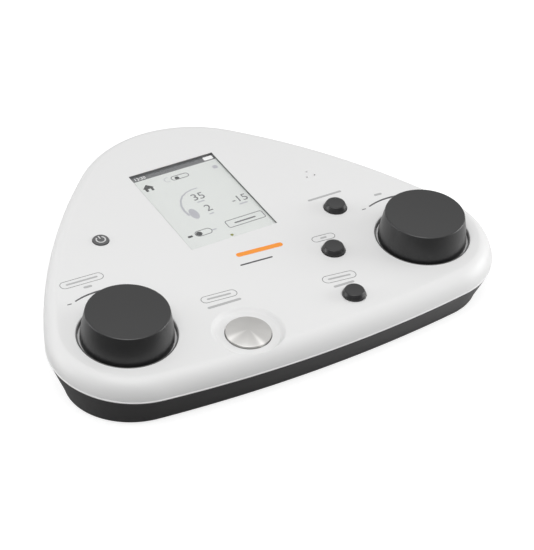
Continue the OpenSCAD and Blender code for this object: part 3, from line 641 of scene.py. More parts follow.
@dataclass
class Form:
    """A closed surface in millimetres.

    Attributes:
        points: Its corners.
        faces: The corners of each face.
    """

    points: list[Point3] = field(default_factory=list)
    faces: list[tuple[int, ...]] = field(default_factory=list)

    def add(self, other: "Form") -> None:
        """Adds another form's surface.

        Args:
            other: The form to add.
        """
        start = len(self.points)
        self.points += other.points
        self.faces += [tuple(start + i for i in face) for face in other.faces]

    def moved(self, x: float = 0.0, y: float = 0.0, z: float = 0.0, turn: float = 0.0) -> "Form":
        """Gives a copy turned about Z by an angle in degrees, and then moved."""
        c, s = math.cos(math.radians(turn)), math.sin(math.radians(turn))
        return Form([(x + a * c - b * s, y + a * s + b * c, z + h) for a, b, h in self.points], list(self.faces))

    def mesh(self, name: str, place: Matrix) -> bpy.types.Mesh:
        """Makes the mesh, in metres, with its faces outwards.

        Args:
            name: Name of the mesh.
            place: Takes the form's space to metres.

        Returns:
            The mesh.
        """
        made = bpy.data.meshes.new(name)
        made.from_pydata([place @ Vector(p) for p in self.points], [], self.faces)
        close_up(made)
        return made


def joined(forms: Iterable[Form]) -> Form:
    """Gives one form that holds several.

    Args:
        forms: The forms, in the order they are added.

    Returns:
        The form that holds them.
    """
    whole = Form()
    for form in forms:
        whole.add(form)
    return whole


def lofted(rings: Sequence[Sequence[Point3]]) -> Form:
    """Joins rings of points, one over the other, into a form with a face on its first and last ring.

    Args:
        rings: The rings, all with the same count of points.

    Returns:
        The closed form.
    """
    count = len(rings[0])
    form = Form([p for ring in rings for p in ring])
    form.faces.append(tuple(range(count)))
    for k in range(len(rings) - 1):
        for i in range(count):
            a, b = k * count + i, k * count + (i + 1) % count
            form.faces.append((a, b, b + count, a + count))
    form.faces.append(tuple(range((len(rings) - 1) * count, len(rings) * count)))
    return form


def turned(profile: Sequence[Point], steps: int = 96) -> Form:
    """Turns a profile round Z.

    Args:
        profile: Radius and height of each point, round the solid part of the section. It may touch the axis.
        steps: How many points go round.

    Returns:
        The form.
    """
    form = Form()
    rows: list[list[int]] = []
    for radius, height in profile:
        if radius < 1e-6:
            form.points.append((0.0, 0.0, height))
            rows.append([len(form.points) - 1] * steps)
            continue
        start = len(form.points)
        for i in range(steps):
            angle = 2 * math.pi * i / steps
            form.points.append((radius * math.cos(angle), radius * math.sin(angle), height))
        rows.append(list(range(start, start + steps)))
    for k, row in enumerate(rows):
        after = rows[(k + 1) % len(rows)]
        for i in range(steps):
            j = (i + 1) % steps
            corners = list(dict.fromkeys((row[i], row[j], after[j], after[i])))
            if len(corners) > 2:
                form.faces.append(tuple(corners))
    return form


def prism(outline: Sequence[Point], low: float, high: float) -> Form:
    """Gives an outline a thickness from one height to another."""
    return lofted([[(x, y, low) for x, y in outline], [(x, y, high) for x, y in outline]])


def rounded_box(width: float, depth: float, radius: float, steps: int = 6) -> list[Point]:
    """Gives the outline of a rectangle with rounded corners, about its middle.

    Args:
        width: Its size along X.
        depth: Its size along Y.
        radius: Radius of the corners.
        steps: Steps of each corner.

    Returns:
        The outline's points, in order.
    """
    points = []
    for quarter, (sx, sy) in enumerate(((1, 1), (-1, 1), (-1, -1), (1, -1))):
        for i in range(steps + 1):
            angle = math.radians(90 * quarter + 90 * i / steps)
            points.append((sx * (width / 2 - radius) + radius * math.cos(angle),
                           sy * (depth / 2 - radius) + radius * math.sin(angle)))
    return points


def disc(radius: float, steps: int = 32, start: float = 0.0) -> list[Point]:
    """Gives points evenly round the origin, the first at an angle in degrees."""
    angles = [math.radians(start) + 2 * math.pi * i / steps for i in range(steps)]
    return [(radius * math.cos(angle), radius * math.sin(angle)) for angle in angles]


def stroke(line: Sequence[Point], width: Width, low: float, high: float, closed: bool = False) -> Form:
    """Draws a flat line with a thickness.

    Args:
        line: Its points.
        width: Its width, or a function of the share of the way along it.
        low: Height of its underside.
        high: Height of its top.
        closed: Whether its end joins its start.

    Returns:
        The form.
    """
    count = len(line)
    left, right = [], []
    for i, (x, y) in enumerate(line):
        before = line[i - 1] if i or closed else line[i]
        after = line[(i + 1) % count] if i < count - 1 or closed else line[i]
        along = Vector((after[0] - before[0], after[1] - before[1])).normalized()
        half = (width(i / (count - 1)) if callable(width) else width) / 2
        left.append((x - along.y * half, y + along.x * half))
        right.append((x + along.y * half, y - along.x * half))
    form = Form()
    for side, height in ((left, high), (right, high), (right, low), (left, low)):
        form.points += [(x, y, height) for x, y in side]
    for i in range(count if closed else count - 1):
        j = (i + 1) % count
        for k in range(4):
            m = (k + 1) % 4
            form.faces.append((k * count + i, k * count + j, m * count + j, m * count + i))
    if not closed:
        form.faces.append(tuple(k * count for k in range(4)))
        form.faces.append(tuple(k * count + count - 1 for k in range(4)))
    return form


def arc_line(radius: float, start: float, end: float, steps: int = 24) -> list[Point]:
    """Gives the points of an arc about the origin, between two angles in degrees."""
    return [(radius * math.cos(math.radians(start + (end - start) * i / steps)),
             radius * math.sin(math.radians(start + (end - start) * i / steps))) for i in range(steps + 1)]


class Carve(Enum):
    """What a set of tools does to a solid."""

    CUT = "DIFFERENCE"
    JOIN = "UNION"


def baked(obj: bpy.types.Object) -> None:
    """Turns an object's modifiers into its mesh and removes them.

    Args:
        obj: The object.
    """
    seen = obj.evaluated_get(bpy.context.evaluated_depsgraph_get())
    made = bpy.data.meshes.new_from_object(seen)
    obj.modifiers.clear()
    old = obj.data
    obj.data = made
    bpy.data.meshes.remove(old)


def shown(name: str, mesh: bpy.types.Mesh) -> bpy.types.Object:
    """Makes an object of a mesh in the scene.

    Args:
        name: Name of the object.
        mesh: Its mesh.

    Returns:
        The object.
    """
    obj = bpy.data.objects.new(name, mesh)
    bpy.context.scene.collection.objects.link(obj)
    return obj


def carve(obj: bpy.types.Object, forms: Iterable[tuple[Form, Matrix]], how: Carve) -> None:
    """Cuts forms out of a solid, or joins them to it.

    Args:
        obj: The solid.
        forms: Each form, with the matrix that takes it to metres.
        how: What is done.
    """
    tools = bpy.data.collections.new("tools")
    bpy.context.scene.collection.children.link(tools)
    for count, (form, place) in enumerate(forms):
        tools.objects.link(bpy.data.objects.new(f"tool_{count}", form.mesh("tool", place)))
    work = obj.modifiers.new("carve", "BOOLEAN")
    work.operation = how.value
    work.operand_type = "COLLECTION"
    work.collection = tools
    work.solver = "EXACT"
    baked(obj)
    for tool in list(tools.objects):
        mesh = tool.data
        bpy.data.objects.remove(tool)
        bpy.data.meshes.remove(mesh)
    bpy.data.collections.remove(tools)


def smooth(obj: bpy.types.Object, crease: float) -> None:
    """Shades an object smoothly, with crisp edges over an angle in degrees and true flats.

    Args:
        obj: The object.
        crease: The angle.
    """
    tool = bmesh.new()
    tool.from_mesh(obj.data)
    bmesh.ops.dissolve_degenerate(tool, edges=tool.edges, dist=SLIVER)
    for face in tool.faces:
        face.smooth = True
    tool.to_mesh(obj.data)
    tool.free()
    obj.data.set_sharp_from_angle(angle=math.radians(crease))
    weigh = obj.modifiers.new("weigh", "WEIGHTED_NORMAL")
    weigh.keep_sharp = True
    weigh.mode = "FACE_AREA"
    weigh.weight = 90
    baked(obj)


def boolean(obj: bpy.types.Object, other: bpy.types.Object, operation: str) -> None:
    """Works one solid on another, and removes the other.

    Args:
        obj: The solid that stays.
        other: The solid that is used up.
        operation: How they are worked together.
    """
    work = obj.modifiers.new("boolean", "BOOLEAN")
    work.operation, work.object, work.solver = operation, other, "EXACT"
    baked(obj)
    bpy.data.objects.remove(other)


def placed(obj: bpy.types.Object, finish: Finish, body: str, replaces: Sequence[str] = ()) -> None:
    """Gives a piece its finish and its place in the assembly.

    Args:
        obj: The piece.
        finish: Its finish.
        body: The body that it rides on.
        replaces: The solids that it stands for.
    """
    obj.data.materials.clear()
    obj.data.materials.append(finish.material())
    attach(obj, body)
    if replaces:
        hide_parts(*replaces)
    LOG.info("%s: %d faces on %s", obj.name, len(obj.data.polygons), body)


def piece(name: str, form: Form, finish: Finish, body: str, replaces: Sequence[str] = (),
          crease: Optional[float] = None, place: Matrix = TO_PANEL) -> None:
    """Makes a piece of a form and puts it in the assembly.

    Args:
        name: Name of the piece.
        form: Its surface.
        finish: Its finish.
        body: The body that it rides on.
        replaces: The solids that it stands for.
        crease: The angle in degrees over which an edge is crisp, or None for flat faces.
        place: Takes the form's space to metres.
    """
    obj = shown(name, form.mesh(name, place))
    if crease is not None:
        smooth(obj, crease)
    placed(obj, finish, body, replaces)


# ---------------------------------------------------------------- case


@dataclass(frozen=True)
class Plan:
    """The case's outline, six arcs that run into one another, and its sloping levels.

    Attributes:
        width: Width over the cover.
        depth: Depth, front to back.
        corner: Radius of the front corners.
        back: Radius of the back.
        front_bow: Radius of the front edge.
        side_bow: Radius of the sides.
        fineness: How many times finer the outline is than its plainest form.
        screws: Arc, share of the way along it and distance in from the outline of each case screw.
    """

    width: float = 275.8
    depth: float = 213.3
    corner: float = 47.0
    back: float = 75.0
    front_bow: float = 739.0
    side_bow: float = 356.0
    fineness: int = 6
    screws: tuple[tuple[int, float, float], ...] = (
        (0, 0.14, 19.4), (0, 0.86, 19.4), (2, 0.36, 25.4), (4, 0.64, 25.4), (2, 0.86, 21.4), (4, 0.14, 21.4))

    def arcs(self) -> list[tuple[Vector, float, float, float, int]]:
        """Gives centre, radius, first and last angle in degrees and number of steps of each arc.

        Returns:
            The arcs, in order round the outline.
        """
        corner_x = self.width / 2 - self.corner
        front = Vector((0.0, self.front_bow - self.depth / 2))
        corner_y = front.y - math.sqrt((self.front_bow - self.corner) ** 2 - corner_x ** 2)
        right, left = Vector((corner_x, corner_y)), Vector((-corner_x, corner_y))
        back = Vector((0.0, self.depth / 2 - self.back))
        near, far = self.side_bow - self.corner, self.side_bow - self.back
        way = back - right
        along = (near ** 2 - far ** 2 + way.length_squared) / (2 * way.length)
        aside = math.sqrt(near ** 2 - along ** 2)
        unit = way.normalized()
        right_side = right + along * unit + aside * Vector((-unit.y, unit.x))
        left_side = Vector((-right_side.x, right_side.y))
        turn = math.degrees(math.atan(corner_x / (front.y - corner_y)))

        def angle(a: Vector, b: Vector) -> float:
            """Gives the angle in degrees of the way from one point to another."""
            return math.degrees(math.atan2(b.y - a.y, b.x - a.x))

        first, last = angle(right_side, right), angle(right_side, back)
        long, short = 8 * self.fineness, 14 * self.fineness
        return [(front, self.front_bow, -90 - turn, -90 + turn, long), (right, self.corner, -90 + turn, first, short),
                (right_side, self.side_bow, first, last, long), (back, self.back, last, 180 - last, short),
                (left_side, self.side_bow, 180 - last, 180 - first, long),
                (left, self.corner, 180 - first, 270 - turn, short)]

    def ring(self, inset: float, height: float, lean: bool = True) -> list[Point3]:
        """Gives the outline set in by a distance, at a level that leans with the panel or not.

        Args:
            inset: How far it is set in.
            height: Its height over the table at the middle of the case.
            lean: Whether it is parallel to the panel.

        Returns:
            The points of the ring.
        """
        points = []
        for centre, radius, start, end, steps in self.arcs():
            for i in range(steps):
                angle = math.radians(start + (end - start) * i / steps)
                x = centre.x + (radius - inset) * math.cos(angle)
                y = centre.y + (radius - inset) * math.sin(angle)
                points.append((x, y, height + (RISE * y if lean else 0.0)))
        return points

    def spot(self, arc: int, share: float, inset: float) -> Point:
        """Gives a plan point at a share of an arc, set in from the outline.

        Args:
            arc: Number of the arc.
            share: Share of the arc, from 0 to 1.
            inset: Distance in from the outline.

        Returns:
            The point.
        """
        centre, radius, start, end, _ = self.arcs()[arc]
        angle = math.radians(start + (end - start) * share)
        return (centre.x + (radius - inset) * math.cos(angle), centre.y + (radius - inset) * math.sin(angle))

    def screw_spots(self) -> list[Point]:
        """Gives the places of the case screws."""
        return [self.spot(*screw) for screw in self.screws]


PLAN = Plan()
DIAL_X = PLAN.width / 2 - 42.4
DIAL_Y = up_slope(49.3 - PLAN.depth / 2)
KEY_PLACES: dict[str, Point] = {"back_key": (64.4, up_slope(-13.3)), "middle_key": (42.2, up_slope(-46.2)),
                                "front_key": (31.4, up_slope(-84.3))}
FEET_AT = ((-88.0, -53.65), (88.0, -53.65), (-35.0, 63.65), (35.0, 63.65))
POWER_AT = (-71.5, up_slope(19.5))
WINDOW_AT = (-1.5, up_slope(27.3))
WINDOW_SIZE = (55.8, 76.2)
GLASS_SIZE = (61.8, 82.2)
LED_AT = (-1.5, WINDOW_AT[1] - WINDOW_SIZE[1] / 2 + 3.3)
MIC_AT = (67.7, up_slope(20.5))
DEEP = 30.0
CLEAR = 2.0


def hole(radius: float, bevel: float = 0.35, steps: int = 72) -> Form:
    """Gives the tool of a hole through the cover with a small bevel at its mouth."""
    return turned([(0.0, -DEEP), (radius, -DEEP), (radius, -bevel), (radius + bevel, 0.0),
                   (radius + bevel, CLEAR), (0.0, CLEAR)], steps)


@dataclass
class Cover:
    """The white cover with its sloping panel, wells, window and dish.

    Attributes:
        round_width: Width of the rounding at the panel's edge.
        round_height: Height of that rounding.
        wall: Thickness of the moulding.
        seam_gap: Gap at the seam.
        lip: Width of the small ledge over the seam.
        lip_height: Height of that ledge over the seam.
        limit: How far the ledge's edge lies inside the outline.
        wall_top: Depth under the panel at which the inner wall meets the ceiling's slope.
        well: Radius of the dials' wells.
        dish: Radius of the dish round the metal button.
        dish_floor: Radius of the dish's flat floor.
        dish_depth: Depth of the dish.
    """

    round_width: float = 8.8
    round_height: float = 13.6
    wall: float = 2.6
    seam_gap: float = 0.2
    lip: float = 0.2
    lip_height: float = 1.1
    limit: float = 0.08
    wall_top: float = 7.5
    well: float = 27.5
    dish: float = 20.5
    dish_floor: float = 17.0
    dish_depth: float = 2.0

    def shell(self) -> Form:
        """Gives the plain moulding: rounded outside, seam edge, inner wall and ceiling.

        Returns:
            The moulding's form.
        """
        last = math.asin((self.round_height - (PANEL_HEIGHT - SEAM) + self.lip_height) / self.round_height)
        steps = 30
        peak = PANEL_HEIGHT + RISE * (PLAN.depth / 2 - self.round_width)
        rings = []
        for i in range(steps + 1):
            angle = math.pi / 2 + (last - math.pi / 2) * i / steps
            ring = PLAN.ring(self.round_width * (1 - math.cos(angle)) + self.lip * (i / steps) ** 2,
                             PANEL_HEIGHT - self.round_height * (1 - math.sin(angle)))
            rings.append([(x, y, min(z, peak)) for x, y, z in ring])
        low = SEAM + self.seam_gap
        rings += [PLAN.ring(inset, height) for inset, height in (
            (2 * self.limit, SEAM + 0.95), (self.limit, SEAM + 0.82), (self.limit, SEAM + 0.45), (0.3, low),
            (self.wall, low), (self.wall, SEAM + 3.5), (self.wall + 0.8, PANEL_HEIGHT - self.wall_top),
            (self.round_width + 0.5, PANEL_HEIGHT - self.wall))]
        return lofted(rings)

    def dish_tool(self) -> Form:
        """Gives the tool that sinks the dish and its hole.

        Returns:
            The tool's form.
        """
        hole_radius, bevel = 12.9, 0.3
        steps = 20
        slope = [(self.dish + (self.dish_floor - self.dish) * i / steps,
                  -self.dish_depth * (1 - math.cos(math.pi * i / steps)) / 2) for i in range(steps + 1)]
        return turned([(0.0, CLEAR), (self.dish, CLEAR), *slope, (hole_radius + bevel, -self.dish_depth),
                       (hole_radius, -self.dish_depth - bevel), (hole_radius, -DEEP), (0.0, -DEEP)], 128)

    def tools(self) -> list[tuple[Form, Matrix]]:
        """Gives everything that is cut out of the panel.

        Returns:
            Each tool's form, with its place.
        """
        cuts = [hole(self.well, 0.3, 128).moved(side * DIAL_X, DIAL_Y) for side in (-1, 1)]
        cuts += [hole(7.0, 0.12).moved(*at) for at in KEY_PLACES.values()]
        cuts += [hole(4.9, 0.12).moved(*POWER_AT), self.dish_tool().moved(*BUTTON_AT)]
        width, length = WINDOW_SIZE
        lower = rounded_box(width + 0.3, length + 0.3, 0.3)
        upper = rounded_box(width + 0.5, length + 0.5, 0.4)
        mouth = lofted([[(x, y, height) for x, y in outline] for outline, height in (
            (lower, -DEEP), (lower, -0.15), (upper, 0.0), (upper, CLEAR))])
        room = 0.8
        recess = prism(rounded_box(GLASS_SIZE[0] + room, GLASS_SIZE[1] + room, 0.2, 1), -DEEP - 1, -1.0)
        cuts += [mouth.moved(*WINDOW_AT), recess.moved(*WINDOW_AT)]
        for x, y in disc(3.0, 3, 90):
            cuts.append(hole(0.6, 0.15, 20).moved(MIC_AT[0] + x, MIC_AT[1] + y))
        return [(cut, TO_PANEL) for cut in cuts]

    def build(self) -> None:
        """Makes the cover and dresses it."""
        obj = shown("cover_skin", self.shell().mesh("cover_skin", TO_WORLD))
        posts = []
        for x, y in PLAN.screw_spots():
            top = PANEL_HEIGHT + RISE * y - 1.6
            posts.append((turned([(0, 15.0), (4.1, 15.0), (4.1, top), (0, top)], 32).moved(x, y), TO_WORLD))
        carve(obj, posts, Carve.JOIN)
        carve(obj, self.tools(), Carve.CUT)
        smooth(obj, 26.0)
        placed(obj, COVER, "case", ["top_cover"])


@dataclass
class Base:
    """The dark lower case, with its rim, the recess at the back and the underside.

    Attributes:
        foot: Height of the underside over the table.
        taper: How far the wall's foot lies inside the cover's edge.
        rim: How far its rim lies inside the cover's edge.
        edge: Radius of the edge round the underside.
        wall: Thickness of the wall.
        groove: How far the shadow gap under the cover goes in from the rim.
        recess_y: Place of the recess's face, from the middle of the case to the back.
        recess_mid: Height of the recess's middle.
        battery_y: Place of the battery bay's middle.
        latch_y: Place of the battery door's screw.
    """

    foot: float = 0.8
    taper: float = 8.6
    rim: float = 0.6
    edge: float = 3.4
    wall: float = 2.6
    groove: float = 1.2
    recess_y: float = 82.25
    recess_mid: float = 21.5
    battery_y: float = -5.0
    latch_y: float = -30.6

    def outside(self) -> list[list[Point3]]:
        """Gives the rings of the outside, from the seam to the underside.

        Returns:
            The rings, from the top down.
        """
        steps = 10
        inner = self.rim + self.groove
        rings = [PLAN.ring(inner, SEAM), PLAN.ring(inner, SEAM - 0.5), PLAN.ring(self.rim + 0.12, SEAM - 0.55),
                 PLAN.ring(self.rim, SEAM - 0.7)]
        for i in range(steps + 1):
            angle = math.pi / 2 * i / steps
            rings.append(PLAN.ring(self.taper + self.edge * (1 - math.cos(angle)),
                                   self.foot + self.edge * (1 - math.sin(angle)), False))
        return rings

    def shell(self) -> Form:
        """Gives the plain lower case with its lip and inside.

        Returns:
            The case's form.
        """
        lip_in, lip_out, lip_top = 4.2, 2.8, SEAM + 2.5
        inside = [PLAN.ring(self.taper + self.edge + 1, self.foot + self.wall, False),
                  PLAN.ring(self.taper + self.wall, self.foot + 2 * self.wall, False),
                  PLAN.ring(lip_in, SEAM - 3.0), PLAN.ring(lip_in, lip_top), PLAN.ring(lip_out, lip_top),
                  PLAN.ring(lip_out, SEAM)]
        return lofted(inside + self.outside())

    def build(self) -> None:
        """Makes the lower case and dresses it."""
        obj = shown("base_skin", self.shell().mesh("base_skin", TO_WORLD))
        block = shown("block", lofted(self.outside()).mesh("block", TO_WORLD))
        limit = Form([(x, y, z) for x in (-46.0, 46.0) for y in (73.25, 180.0) for z in (self.foot, 37.0)],
                     [(0, 1, 3, 2), (4, 6, 7, 5), (0, 4, 5, 1), (2, 3, 7, 6), (0, 2, 6, 4), (1, 5, 7, 3)])
        boolean(block, shown("limit", limit.mesh("limit", TO_WORLD)), "INTERSECT")
        boolean(obj, block, "UNION")
        floor = self.foot + 0.01
        joins = [(prism(disc(4.5), floor, 15.0).moved(x, y), TO_WORLD) for x, y in PLAN.screw_spots()]
        joins += [(prism(rounded_box(75.2, 43.2, 0.2, 1), floor, 23.6).moved(0, self.battery_y), TO_WORLD),
                  (prism(disc(4.4), floor, 9.8).moved(0, self.latch_y), TO_WORLD)]
        carve(obj, joins, Carve.JOIN)
        carve(obj, self.tools(), Carve.CUT)
        smooth(obj, 26.0)
        placed(obj, BASE, "case", ["base_shell"])

    def tools(self) -> list[tuple[Form, Matrix]]:
        """Gives everything that is cut out of the lower case.

        Returns:
            Each tool's form, with its place.
        """
        to_back = TO_WORLD @ Matrix.Translation((0, self.recess_y, self.recess_mid)) @ Matrix.Rotation(
            math.radians(-90), 4, "X")
        cuts = [(prism(rounded_box(86.0, 25.0, 1.2), 0.0, 60.0), to_back),
                (prism(rounded_box(81.0, 14.0, 0.4, 2), -30.0, 1.0), to_back)]
        bore = turned([(0, -1), (3.05, -1), (3.05, 11.0), (1.6, 11.0), (1.6, 20.0), (0, 20.0)], 32)
        socket = prism(disc(7.1, 48), -1.0, 1.8)
        flat = [bore.moved(x, y) for x, y in PLAN.screw_spots()]
        flat += [socket.moved(x, y) for x, y in FEET_AT]
        flat += [prism(rounded_box(72.0, 40.0, 0.3, 2), -1.0, 22.0).moved(0, self.battery_y),
                 prism(rounded_box(76.0, 44.0, 0.3, 2), -2.0, 2.8).moved(0, self.battery_y),
                 prism(disc(4.5), -1.5, 2.8).moved(0, self.latch_y)]
        return cuts + [(cut, TO_WORLD) for cut in flat]


@dataclass
class Feet:
    """The four round rubber feet, with soft edges.

    Attributes:
        radius: Radius of a foot.
        height: Height of a foot.
    """

    radius: float = 7.0
    height: float = 1.8

    def build(self) -> None:
        """Makes the feet and dresses them."""
        foot = turned([(0, 0), (self.radius - 0.5, 0), (self.radius - 0.15, 0.15), (self.radius, 0.5),
                       (self.radius, self.height), (0, self.height)], 48)
        piece("feet_rubber", joined(foot.moved(x, y) for x, y in FEET_AT), SLOT_FINISHES["foot_rubber"], "case",
              ["feet"], 40.0, TO_WORLD)


# ---------------------------------------------------------------- dials


class Rule:
    """A Geometry Nodes tree that a script fills, with named inputs."""

    def __init__(self, name: str, sizes: dict[str, float]) -> None:
        """Makes the tree with a geometry socket in and out and its named number inputs.

        Args:
            name: Name of the tree.
            sizes: Name and usual value of each input.
        """
        self.tree = bpy.data.node_groups.new(name, "GeometryNodeTree")
        self.board = Board(self.tree)
        for way in ("OUTPUT", "INPUT"):
            self.tree.interface.new_socket("Geometry", in_out=way, socket_type="NodeSocketGeometry")
        for size, value in sizes.items():
            made = self.tree.interface.new_socket(size, in_out="INPUT", socket_type="NodeSocketFloat")
            made.default_value = value
        self.entry = self.board.node("NodeGroupInput")

    def number(self, name: str) -> Num:
        """Gives a named input as a number."""
        return self.board.num(self.entry.outputs[name])

    def close(self, geometry: bpy.types.NodeSocket, finish: Finish) -> None:
        """Ends the tree: instances made real, and the material set.

        Args:
            geometry: The geometry that comes out.
            finish: The finish it wears.
        """
        real = self.board.node("GeometryNodeRealizeInstances", sockets={"Geometry": geometry})
        dressed = self.board.node("GeometryNodeSetMaterial", sockets={
            "Geometry": real.outputs["Geometry"], "Material": finish.material()})
        self.board.node("NodeGroupOutput", sockets={"Geometry": dressed.outputs["Geometry"]})

    def run(self, name: str, source: bpy.types.Mesh, values: dict[str, float]) -> bpy.types.Object:
        """Runs the tree on a mesh and bakes the result into a plain object.

        Args:
            name: Name of the new object.
            source: The mesh that goes in.
            values: Values of the named inputs.

        Returns:
            The object with its plain mesh.
        """
        obj = shown(name, source)
        work = obj.modifiers.new("rule", "NODES")
        work.node_group = self.tree
        for item in self.tree.interface.items_tree:
            if item.in_out == "INPUT" and item.name in values:
                work[item.identifier] = values[item.name]
        baked(obj)
        return obj


@dataclass
class Dial:
    """One of the two dials: its grip, and the liner and floor of its well.

    Attributes:
        side: -1 for the left one, 1 for the right one.
        skirt_radius: Radius at the panel.
        top_radius: Radius of the top.
        height: Height over the panel.
        skirt: How far it reaches into the well.
        edge: Radius of the top edge.
        dip: Depth of the dish in its top.
        around: How many steps go round.
        along: How many steps go along the section.
    """

    side: int
    skirt_radius: float = 25.5
    top_radius: float = 23.0
    height: float = 15.75
    skirt: float = 2.2
    edge: float = 0.9
    dip: float = 1.1
    around: int = 144
    along: int = 60

    @property
    def name(self) -> str:
        """Gives left or right."""
        return "left" if self.side < 0 else "right"

    def sizes(self) -> dict[str, float]:
        """Gives the grip's sizes under the names of the tree's inputs."""
        return {"Skirt Radius": self.skirt_radius, "Top Radius": self.top_radius, "Height": self.height,
                "Skirt": self.skirt, "Edge": self.edge, "Dip": self.dip}

    def rule(self) -> Rule:
        """Makes the tree that turns the grip's section: underside, swelling side, rounded edge and dished top.

        Returns:
            The tree, ready to run.
        """
        rule = Rule(f"{self.name}_dial_shape", self.sizes())
        board = rule.board
        grid = board.node("GeometryNodeMeshGrid", sockets={
            "Size X": 1.0, "Size Y": 1.0, "Vertices X": self.around + 1, "Vertices Y": self.along + 1})
        x, y = board.across(board.node("GeometryNodeInputPosition").outputs["Position"])
        angle = (x + 0.5) * (2 * math.pi)
        way = y + 0.5
        skirt_r, top_r, height, skirt, edge, dip = (rule.number(name) for name in self.sizes())
        hub, hollow, rim = 10.0, 2.0, 2.4
        stops = (0.1, 0.2, 0.233, 0.68, 0.85)
        starts = (0.0, *stops)
        ends = (*stops, 1.0)
        part = [((way - a) / (b - a)).clamped() for a, b in zip(starts, ends)]
        bend = part[4] * (math.pi / 2)
        spans = [
            (part[0] * hub, part[0] * 0.0 + hollow),
            (hub + part[1] * (skirt_r - (hub + rim)), hollow - part[1] * (skirt + hollow)),
            (skirt_r - rim + part[2] * rim, part[2] * 0.0 - skirt),
            (skirt_r - (skirt_r - top_r) * part[3] ** 1.5, part[3] * (height - edge + skirt) - skirt),
            (top_r - edge * (1.0 - bend.cosine()), height - edge * (1.0 - bend.sine())),
            ((top_r - edge) * (1.0 - part[5]), height - dip * (1.0 - (1.0 - part[5]) ** 2.0)),
        ]
        radius, level = spans[0]
        for start, (r, z) in zip(stops, spans[1:]):
            chosen = way > (start - 1e-4)
            radius = radius + (r - radius) * chosen
            level = level + (z - level) * chosen
        place = board.node("ShaderNodeCombineXYZ", sockets={
            "X": radius * angle.cosine(), "Y": radius * angle.sine(), "Z": level})
        moved = board.node("GeometryNodeSetPosition", sockets={
            "Geometry": grid.outputs["Mesh"], "Position": place.outputs["Vector"]})
        closed = board.node("GeometryNodeMergeByDistance", sockets={
            "Geometry": moved.outputs["Geometry"], "Distance": 0.0005})
        rule.close(closed.outputs["Geometry"], DIAL)
        return rule

    def build(self) -> None:
        """Makes the dial's grip, liner and floor, and dresses them."""
        x, y = self.side * DIAL_X, DIAL_Y
        grip = self.rule().run(f"{self.name}_dial_grip", bpy.data.meshes.new("empty"), self.sizes())
        grip.data.transform(TO_PANEL @ Matrix.Translation((x, y, 0)))
        close_up(grip.data)
        smooth(grip, 30.0)
        placed(grip, DIAL, f"{self.name}_dial", [f"{self.name}_knob"])
        # The liner's dark colour is painted shade on the well's wall.
        liner = turned([(26.7, -2.6), (27.45, -2.6), (27.45, -0.4), (27.3, -0.25), (26.85, -0.25), (26.7, -0.4)], 128)
        piece(f"{self.name}_well_liner", liner.moved(x, y), WELL_SHADE_LINER, "case",
              [f"{self.name}_dial_seal"], 30.0)
        seat = turned([(4.6, -5.0), (30.0, -5.0), (30.0, -2.6), (4.6, -2.6)], 128)
        piece(f"{self.name}_well_floor", seat.moved(x, y), SEAT, "case", [f"{self.name}_dial_seat"], 30.0)


# ---------------------------------------------------------------- keys and buttons


FLANGE_TOP = -2.7


def stem(flange: float) -> list[Point]:
    """Gives the section of a key's stem, up to the edge of its flange of a radius."""
    foot, radius, under = -7.0, 2.4, FLANGE_TOP - 1
    return [(0, foot), (radius, foot), (radius, under), (flange, under), (flange, FLANGE_TOP)]


@dataclass
class Key:
    """A domed key.

    Attributes:
        name: Its node's name.
        at: Its place on the panel.
        radius: Radius at the panel.
        top: Radius of its flat top.
        height: Height over the panel.
    """

    name: str
    at: Point
    radius: float = 6.7
    top: float = 5.1
    height: float = 3.4

    def profile(self) -> list[Point]:
        """Gives the key's section, from the foot of its stem to the middle of its top.

        Returns:
            The section's points, in order.
        """
        edge_width, edge_height, dip, steps, bends = 0.6, 0.65, 0.25, 8, 5
        side = [(self.radius, FLANGE_TOP), (self.radius, 0.2)]
        for i in range(steps + 1):
            t = i / steps
            side.append((self.radius - 0.05 - (self.radius - self.top - edge_width) * t ** 1.7,
                         0.3 + (self.height - 0.3 - edge_height) * t))
        edge = side[-1]
        for i in range(1, bends + 1):
            angle = math.radians(90 / bends * i)
            side.append((edge[0] - edge_width * (1 - math.cos(angle)), edge[1] + edge_height * math.sin(angle)))
        face = [((self.top - 0.1) * (1 - i / bends), self.height - dip * (1 - (1 - i / bends) ** 2))
                for i in range(1, bends + 1)]
        return [*stem(8.2), *side, *face]

    def build(self) -> None:
        """Makes the key and dresses it."""
        piece(f"{self.name}_cap", turned(self.profile(), 72).moved(*self.at), KEY, f"{self.name}_set",
              [self.name], 32.0)


@dataclass
class MetalButton:
    """The round metal button with a low crown.

    Attributes:
        radius: Its radius.
        height: Height of the crown over the panel.
        crown: Rise of the crown over the rim.
        edge: Radius of the rim's edge.
    """

    radius: float = 12.6
    height: float = 0.9
    crown: float = 1.7
    edge: float = 0.35

    def build(self) -> None:
        """Makes the cap and dresses it."""
        rim = self.height - self.crown
        floor, foot = rim - 1.1, rim - 2.3
        inner = self.radius - 0.55
        steps = 24
        crown = [((self.radius - self.edge) * (1 - i / steps), rim + self.crown * (1 - (1 - i / steps) ** 2))
                 for i in range(steps + 1)]
        chamfer = self.edge * 0.3
        profile = [(0, floor), (inner, floor), (inner, foot), (self.radius, foot), (self.radius, rim - self.edge),
                   (self.radius - chamfer, rim - chamfer), *crown]
        piece("metal_button_cap", turned(profile, 128).moved(*BUTTON_AT), METAL, "stimulus_set",
              ["stimulus_button"], 40.0)


